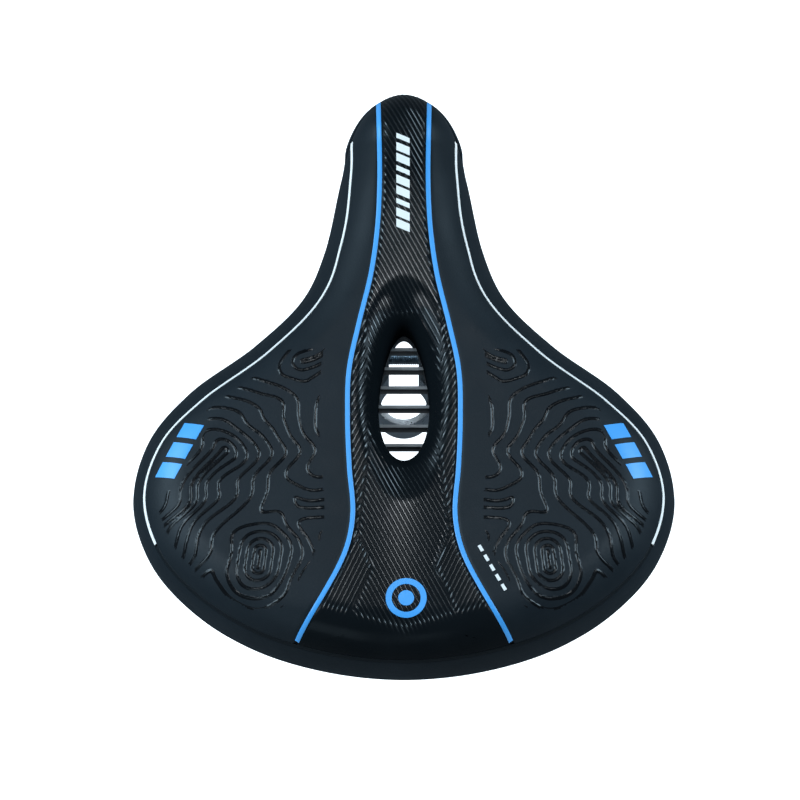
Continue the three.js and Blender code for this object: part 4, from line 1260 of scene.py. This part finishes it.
def coil_points(side):
    """The wire's middle line, its turns close together at both ends."""
    count = round(SPRING_TURNS * TURN_STEPS)
    low, high = SPRING_BASE_Z + SPRING_WIRE_R, SPRING_TOP_Z - SPRING_WIRE_R
    points = []
    for k in range(count + 1):
        share = k / count
        height = share + (ease(CLOSED_SHARE, 1 - CLOSED_SHARE, share) - share) * SPRING_FLATNESS
        angle = share * SPRING_TURNS * 2 * math.pi
        points.append(Vector((
            side * SPRING_X + SPRING_R * math.cos(angle), SPRING_Y + SPRING_R * math.sin(angle),
            low + (high - low) * height)))
    return points


for side, name in SIDES:
    bm = wire(coil_points(side), SPRING_WIRE_R)
    stands_for = [f"coil_spring_{name}"]
    coil = finish(bm, f"spring_coil_{name}", bright_steel, None, stands_for, corner=180)
    ends = [(side * SPRING_X * MM, SPRING_Y * MM, z * MM) for z in (SPRING_BASE_Z, SPRING_TOP_Z)]
    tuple(ends[0])
    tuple(ends[1])
    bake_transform(coil)

# ---- spring cups and their screws ----
# Pressed steel cups centre each coil on the bridge below and on the shell above. A flat-headed screw
# holds each one: the lower has its nut under the bridge, the upper drives into the shell's boss.
CUP_R = 17.5
CUP_WALL = 1.5
HOLE_ROOM = 0.4
CUP_SPIGOT = 5
SPIGOT_R = 10.5
SCREW_R = 3
HEAD_R = 4.8
HEAD_HIGH = 2.4
LOWER_CUP_Z = 32.6
UPPER_CUP_Z = 69.5
BRIDGE_Z = 29.8
THREAD_PITCH = 1.0
THREAD_DEPTH = 0.35
NUT_SHARE = 0.8
HEX_SHARE = 1.63
SCREW_TIP_Z = 73.2
FIT = 0.3


def cup(side, base, up):
    """A flanged cup with a rounded spigot: up is 1 below the coil and -1 above it."""
    profile = [
        (SCREW_R + HOLE_ROOM, 0), (CUP_R - 0.5, 0), (CUP_R, 0.4), (CUP_R, CUP_WALL - 0.2),
        (CUP_R - 0.4, CUP_WALL), (SPIGOT_R + 0.8, CUP_WALL), (SPIGOT_R, CUP_WALL + 0.8),
        (SPIGOT_R - 1, CUP_WALL + CUP_SPIGOT - 1.2),
        (SPIGOT_R - 2.2, CUP_WALL + CUP_SPIGOT), (SCREW_R + HOLE_ROOM, CUP_WALL + CUP_SPIGOT),
    ]
    return turned([(r, base + up * z) for r, z in profile], (side * SPRING_X, SPRING_Y, 0))


def thread(radius, low, high):
    """Profile of a threaded shank, as a row of V-shaped crests."""
    count = max(1, int((high - low) / THREAD_PITCH))
    points = [(0, low), (radius - THREAD_DEPTH, low)]
    for k in range(count):
        points.append((radius, low + (k + 0.5) * (high - low) / count))
        points.append((radius - THREAD_DEPTH, low + (k + 1) * (high - low) / count))
    return [*points, (0, high)]


def flat_screw(place, seat, tip, radius=SCREW_R, head=HEAD_R):
    """A flat-headed screw: its head lies beyond seat, away from the tip, with a hexagon socket."""
    away = math.copysign(1, seat - tip)
    top = seat + away * HEAD_HIGH
    socket = radius * 0.75
    profile = [
        (0, seat + away * HEAD_HIGH * 0.35), (socket, seat + away * HEAD_HIGH * 0.35), (socket, top),
        (head - 0.5, top), (head, top - away * 0.5), (head, seat + away * 0.1), (head - 0.1, seat), (0, seat),
    ]
    shank = thread(radius, min(seat, tip), max(seat, tip))
    return joined(turned(profile, place, 36), turned(shank, place, 24))


def hex_nut(size, z0, z1, place=(0, 0, 0)):
    """A hexagon nut with chamfered corners and a round hole."""
    flat = size * HEX_SHARE / 2
    hole = size / 2 + 0.05
    chamfer = 0.14 * (z1 - z0)
    rows = [(hole, z0), (None, z0), (1, z0 + chamfer), (1, z1 - chamfer), (None, z1), (hole, z1)]

    def point(u, v):
        angle = u * 2 * math.pi
        corner = flat / math.cos((angle + math.pi / 6) % (math.pi / 3) - math.pi / 6)
        kind, z = rows[round(v * len(rows)) % len(rows)]
        radius = corner if kind == 1 else min(corner, flat * 1.02) if kind is None else kind
        return Vector((radius * math.cos(angle), radius * math.sin(angle), z))

    made = sheet(36, len(rows), point, closed=True)
    bmesh.ops.recalc_face_normals(made, faces=made.faces)
    return moved(made, place)


black_coat = metal("black_coat", (0.06, 0.064, 0.07), 0.38)
zinc_plate = metal("zinc_plate", (0.52, 0.58, 0.63), 0.32)


def zinc(made, name, body, stands_for):
    """Finishes a zinc plated steel part."""
    finish(made, name, zinc_plate, body, [stands_for])


def black(made, name, body, stands_for):
    """Finishes a black coated steel part."""
    finish(made, name, black_coat, body, [stands_for])


spring_nut_top = BRIDGE_Z - FIT
spring_nut_low = spring_nut_top - 2 * SCREW_R * NUT_SHARE
lower_seat = LOWER_CUP_Z + CUP_WALL + CUP_SPIGOT + FIT
upper_seat = UPPER_CUP_Z - CUP_WALL - CUP_SPIGOT - FIT
for side, name in SIDES:
    axis = (side * SPRING_X, SPRING_Y, 0)
    black(cup(side, LOWER_CUP_Z, 1), f"cup_below_{name}", "rails", f"lower_spring_cup_{name}")
    black(cup(side, UPPER_CUP_Z, -1), f"cup_above_{name}", "seat", f"upper_spring_cup_{name}")
    screw = flat_screw(axis, lower_seat, spring_nut_low - 2)
    zinc(screw, f"cup_screw_below_{name}", "rails", f"lower_spring_bolt_{name}")
    nut = hex_nut(2 * SCREW_R, spring_nut_low, spring_nut_top, axis)
    zinc(nut, f"cup_nut_{name}", "rails", f"lower_spring_nut_{name}")
    screw = flat_screw(axis, upper_seat, SCREW_TIP_Z)
    zinc(screw, f"cup_screw_above_{name}", "seat", f"upper_spring_screw_{name}")

# ---- spring bridge and clamp plate ----
# A pressed steel plate across the rails carries both springs. A grooved bar below the rails and two
# bolts clamp it to them.
BRIDGE_THICK = 2.5
BRIDGE_HALF = 79
BRIDGE_END_R = 18
BRIDGE_WAIST = 12
PLATE_TOP_Z = 25.7
PLATE_THICK = 7
PLATE_HALF = Vector((32, 9))
BOLT_PITCH = 22
GROOVE_R = 3.8
GROOVE_HALF = 60
BRIDGE_NUT_Z = 32.6
SWAGE_X = 30
SWAGE_HALF = Vector((8.5, 3))
END_STEPS = 24


def bridge_outline():
    """The plate's outline, narrow in the middle and round at both ends."""
    reach = BRIDGE_HALF - BRIDGE_END_R
    points = []
    for turn in (0, math.pi):
        for k in range(END_STEPS + 1):
            angle = turn - math.pi / 2 + math.pi * k / END_STEPS
            end = Vector((math.cos(turn) * reach, 0))
            points.append(end + BRIDGE_END_R * Vector((math.cos(angle), math.sin(angle))))
        for k in range(1, END_STEPS):
            x = math.cos(turn) * reach * (1 - 2 * k / END_STEPS)
            waist = BRIDGE_WAIST + (BRIDGE_END_R - BRIDGE_WAIST) * ease(0, 1, abs(x) / reach)
            points.append(Vector((x, math.cos(turn) * waist)))
    return points


def carve(made, tools):
    """Cuts closed tools out of a closed part."""
    shapes = [made, *tools]
    part, *cutters = (bpy.data.objects.new("part", bpy.data.meshes.new("part")) for _ in shapes)
    for item, shape in zip([part, *cutters], shapes):
        shape.to_mesh(item.data)
        shape.free()
        scene.collection.objects.link(item)
    for cutter in cutters:
        part.modifiers.new("cut", "BOOLEAN").object = cutter
    result = bmesh.new()
    result.from_object(part, bpy.context.evaluated_depsgraph_get())
    for item in (part, *cutters):
        bpy.data.objects.remove(item)
    return result


def slab(outline, thickness, radius):
    """A flat outline grown by a thickness, with its two rims rounded."""
    made = bmesh.new()
    flat_face = made.faces.new([made.verts.new(point) for point in outline])
    grown = bmesh.ops.extrude_face_region(made, geom=[flat_face])["geom"]
    grown = [v for v in grown if isinstance(v, bmesh.types.BMVert)]
    bmesh.ops.translate(made, vec=thickness, verts=grown)
    bmesh.ops.recalc_face_normals(made, faces=made.faces)
    way = Vector(thickness).normalized()
    rims = [e for e in made.edges if abs((e.verts[0].co - e.verts[1].co).dot(way)) < 0.1]
    return rounded(made, rims, radius)


def rail_groove(x, y):
    """A round bar in the rail's place, to cut a groove with."""
    groove = disc(GROOVE_R, -GROOVE_HALF, GROOVE_HALF, corner=0.1, steps=40)
    turn = Matrix.Rotation(math.pi / 2, 3, "X")
    bmesh.ops.rotate(groove, cent=(0, 0, 0), matrix=turn, verts=groove.verts)
    return moved(groove, (x, y, RAIL_Z))


plate = slab([(p.x, SPRING_Y + p.y, BRIDGE_Z) for p in bridge_outline()], (0, 0, BRIDGE_THICK), 0.5)
swages = []
for side, _ in SIDES:
    middle = Vector((side * SWAGE_X, SPRING_Y))
    low, high = middle - SWAGE_HALF, middle + SWAGE_HALF
    swages.append(block((*low, BRIDGE_Z + 1), (*high, BRIDGE_Z + BRIDGE_THICK + 1.2), 1.1, 3))
black(joined(plate, *swages), "bridge_plate", "rails", "spring_bridge")

clamp_bar = block((-PLATE_HALF.x, SPRING_Y - PLATE_HALF.y, PLATE_TOP_Z - PLATE_THICK),
                  (PLATE_HALF.x, SPRING_Y + PLATE_HALF.y, PLATE_TOP_Z), 0.8)
grooves = [rail_groove(side * RAIL_X, SPRING_Y) for side, _ in SIDES]
black(carve(clamp_bar, grooves), "rail_clamp_bar", "rails", "rail_clamp_plate")
size = 2 * SCREW_R
head_top = PLATE_TOP_Z - PLATE_THICK - FIT
head_low = head_top - size * NUT_SHARE
for side, name in SIDES:
    axis = (side * BOLT_PITCH / 2, SPRING_Y, 0)
    shank = turned(thread(SCREW_R, head_low + 0.4, BRIDGE_NUT_Z + size), axis, 24)
    bolt = joined(hex_nut(size, head_low, head_top, axis), shank)
    zinc(bolt, f"hex_bolt_{name}", "rails", f"bridge_bolt_{name}")
    nut = hex_nut(size, BRIDGE_NUT_Z, BRIDGE_NUT_Z + size * NUT_SHARE, axis)
    zinc(nut, f"hex_nut_{name}", "rails", f"bridge_nut_{name}")

# ---- nose clip ----
# A zinc plated steel strip folded round the nose bar, with two ears screwed up into the shell.
CLIP_HALF = 6.5
CLIP_WALL = 2.5
WRAP_R = 6.3
CLIP_SCREW_R = 2
CLIP_SCREW_HEAD = 3.2
CLIP_PITCH = 20
CLIP_LONG = 28
WRAP_STEPS = 24

clip_low_z = CLIP_TOP_Z - CLIP_WALL
clip_line = [(-CLIP_LONG / 2, clip_low_z), (-CLIP_LONG / 2, CLIP_TOP_Z), (CLIP_LONG / 2, CLIP_TOP_Z),
             (CLIP_LONG / 2, clip_low_z), (WRAP_R, clip_low_z)]
for k in range(WRAP_STEPS + 1):
    angle = math.pi * k / WRAP_STEPS
    clip_line.append((WRAP_R * math.cos(angle), NOSE_BAR_Z - WRAP_R * math.sin(angle)))
clip_line.append((-WRAP_R, clip_low_z))
bm = slab([(-CLIP_HALF, NOSE_BAR_Y + y, z) for y, z in clip_line], (2 * CLIP_HALF, 0, 0), 0.4)
bar_hole = moved(crossed(disc(GROOVE_R, -20, 20, corner=0.1)), (0, NOSE_BAR_Y, NOSE_BAR_Z))
zinc(carve(bm, [bar_hole]), "folded_clip", "seat", "nose_clip")
for end, name in ((1, "front"), (-1, "rear")):
    place = (0, NOSE_BAR_Y + end * CLIP_PITCH / 2, 0)
    screw = flat_screw(place, clip_low_z - FIT, SCREW_TIP_Z, CLIP_SCREW_R, CLIP_SCREW_HEAD)
    zinc(screw, f"nose_screw_{name}", "seat", f"{name}_clip_screw")

# ---- seatpost clamp ----
# A zinc plated steel band round the seatpost top. One cross bolt squeezes its ears between the
# inner and outer rail guides, whose grooves grip the rails.
BORE_R = 11.1
BAND = 3
EAR_X = 7
BOLT_Y = 23
BOLT_Z = 13
BOLT_R = 4
EAR_R = 13
INNER_GUIDE_X = (10.3, 14.7, 21.85)  # boss face, bar face, parting face
OUTER_GUIDE_X = (30.8, 30.8, 22.15)
GUIDE_HALF = Vector((22, 6))
GUIDE_BOSS_R = 12
WASHER_X = 31.1
WASHER_THICK = 1.6
WASHER_R = 9
NUT_X = 33.0
NUT_THICK = 6.4
ARC_STEPS = 60
TOOTH_COUNT = 36
TOOTH_HIGH = 0.7
BOSS_CHAMFER = 1.2
BOSS_ROWS = 5
TOOTH_MARGIN = 0.8
NEAR_AXIS = 0.02


def band_line():
    """The band's middle line in plan, from the right ear round the post to the left ear."""
    middle_r = BORE_R + BAND / 2
    ear_x = EAR_X + BAND / 2
    start = math.acos(ear_x / middle_r)
    ear_end = BOLT_Y + EAR_R
    ear = [Vector((ear_x, ear_end - k, 0)) for k in range(int(ear_end - middle_r * math.sin(start)))]
    angles = [start - (math.pi + 2 * start) * k / ARC_STEPS for k in range(ARC_STEPS + 1)]
    arc = [middle_r * Vector((math.cos(angle), math.sin(angle), 0)) for angle in angles]
    return [*ear, *arc, *(Vector((-p.x, p.y, 0)) for p in reversed(ear))]


BAND_LINE = band_line()
# the band's section, by half widths across and up
BAND_SECTION = [(-1, -1), (-0.7, -1), (0.7, -1), (1, -1), (1, -0.9), (1, 0.9), (1, 1), (0.7, 1), (-0.7, 1),
                (-1, 1), (-1, 0.9), (-1, -0.9)]


def band_place(u, v):
    """u runs along the band and v round its section."""
    k = min(int(u * (len(BAND_LINE) - 1)), len(BAND_LINE) - 2)
    middle = BAND_LINE[k].lerp(BAND_LINE[k + 1], u * (len(BAND_LINE) - 1) - k)
    along = (BAND_LINE[k + 1] - BAND_LINE[k]).normalized()
    across, up = BAND_SECTION[round(v * len(BAND_SECTION)) % len(BAND_SECTION)]
    if abs(across) == 1 and abs(up) == 1:
        across *= 0.9
    over = max(0, middle.y - BOLT_Y)
    high = math.sqrt(max(0.01, EAR_R ** 2 - over ** 2))
    offset = Vector((along.y, -along.x, 0)) * across * BAND / 2
    return middle + offset + Vector((0, 0, BOLT_Z + up * high))


bm = sheet(len(BAND_LINE) - 1, len(BAND_SECTION), band_place, closed=True)
bmesh.ops.holes_fill(bm, edges=[e for e in bm.edges if e.is_boundary], sides=0)
bmesh.ops.recalc_face_normals(bm, faces=bm.faces)
zinc(bm, "post_band", "clamp", "clamp_band")

bolt_reach = NUT_X + NUT_THICK + 2
bm = moved(crossed(turned(thread(BOLT_R, -bolt_reach, bolt_reach), steps=32)), (0, BOLT_Y, BOLT_Z))
zinc(bm, "cross_bolt", "clamp", "clamp_bolt")


def toothed_boss(face_x, end_x):
    """A round boss with a ring of radial teeth on its face, laid along X."""
    def point(u, v):
        angle = u * 2 * math.pi
        tooth = TOOTH_HIGH * abs((u * TOOTH_COUNT) % 1 - 0.5)
        root_x = face_x + TOOTH_HIGH
        rows = [
            (NEAR_AXIS, root_x), (GUIDE_BOSS_R / 2, root_x), (GUIDE_BOSS_R - TOOTH_MARGIN, face_x + tooth),
            (GUIDE_BOSS_R, face_x + BOSS_CHAMFER), (GUIDE_BOSS_R, end_x), (NEAR_AXIS, end_x),
        ]
        radius, x = rows[round(v * BOSS_ROWS)]
        return Vector((x, BOLT_Y + radius * math.cos(angle), BOLT_Z + radius * math.sin(angle)))

    made = sheet(TOOTH_COUNT * 2, BOSS_ROWS, point, closed=True)
    bmesh.ops.holes_fill(made, edges=[e for e in made.edges if e.is_boundary], sides=0)
    bmesh.ops.recalc_face_normals(made, faces=made.faces)
    return made


def rail_guide(boss_x, bar_x, end_x):
    """A toothed boss and a bar with round corners, grooved for the rail, on the right side."""
    low = (min(bar_x, end_x), BOLT_Y - GUIDE_HALF.x, RAIL_Z - GUIDE_HALF.y)
    high = (max(bar_x, end_x), BOLT_Y + GUIDE_HALF.x, RAIL_Z + GUIDE_HALF.y)
    bar = carve(block(low, high, 1.6, 3), [rail_groove(RAIL_X, 0)])
    return joined(bar, carve(toothed_boss(boss_x, end_x), [rail_groove(RAIL_X, 0)]))


WASHER = [(BOLT_R + 0.2, 0), (WASHER_R - 0.3, 0), (WASHER_R, 0.3), (WASHER_R, WASHER_THICK - 0.3),
          (WASHER_R - 0.3, WASHER_THICK), (BOLT_R + 0.2, WASHER_THICK)]
for side, name in SIDES:
    for part, faces_x in (("inner", INNER_GUIDE_X), ("outer", OUTER_GUIDE_X)):
        bm = on_side(rail_guide(*faces_x), side)
        zinc(bm, f"{part}_guide_{name}", "guides", f"{part}_rail_guide_{name}")
    nut = hex_nut(2 * BOLT_R, 0, NUT_THICK)
    for made, x, part in ((turned(WASHER), WASHER_X, "washer"), (nut, NUT_X, "nut")):
        bm = on_side(moved(crossed(made), (x, BOLT_Y, BOLT_Z)), side)
        zinc(bm, f"cross_{part}_{name}", "clamp", f"clamp_{part}_{name}")

# ---- outer sizes ----
# The saddle's outer sizes, of the plain solids and of the finished pieces, are measured.
low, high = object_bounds()
{"cad": [list(cad_low), list(cad_high)], "visual": [list(low), list(high)]}
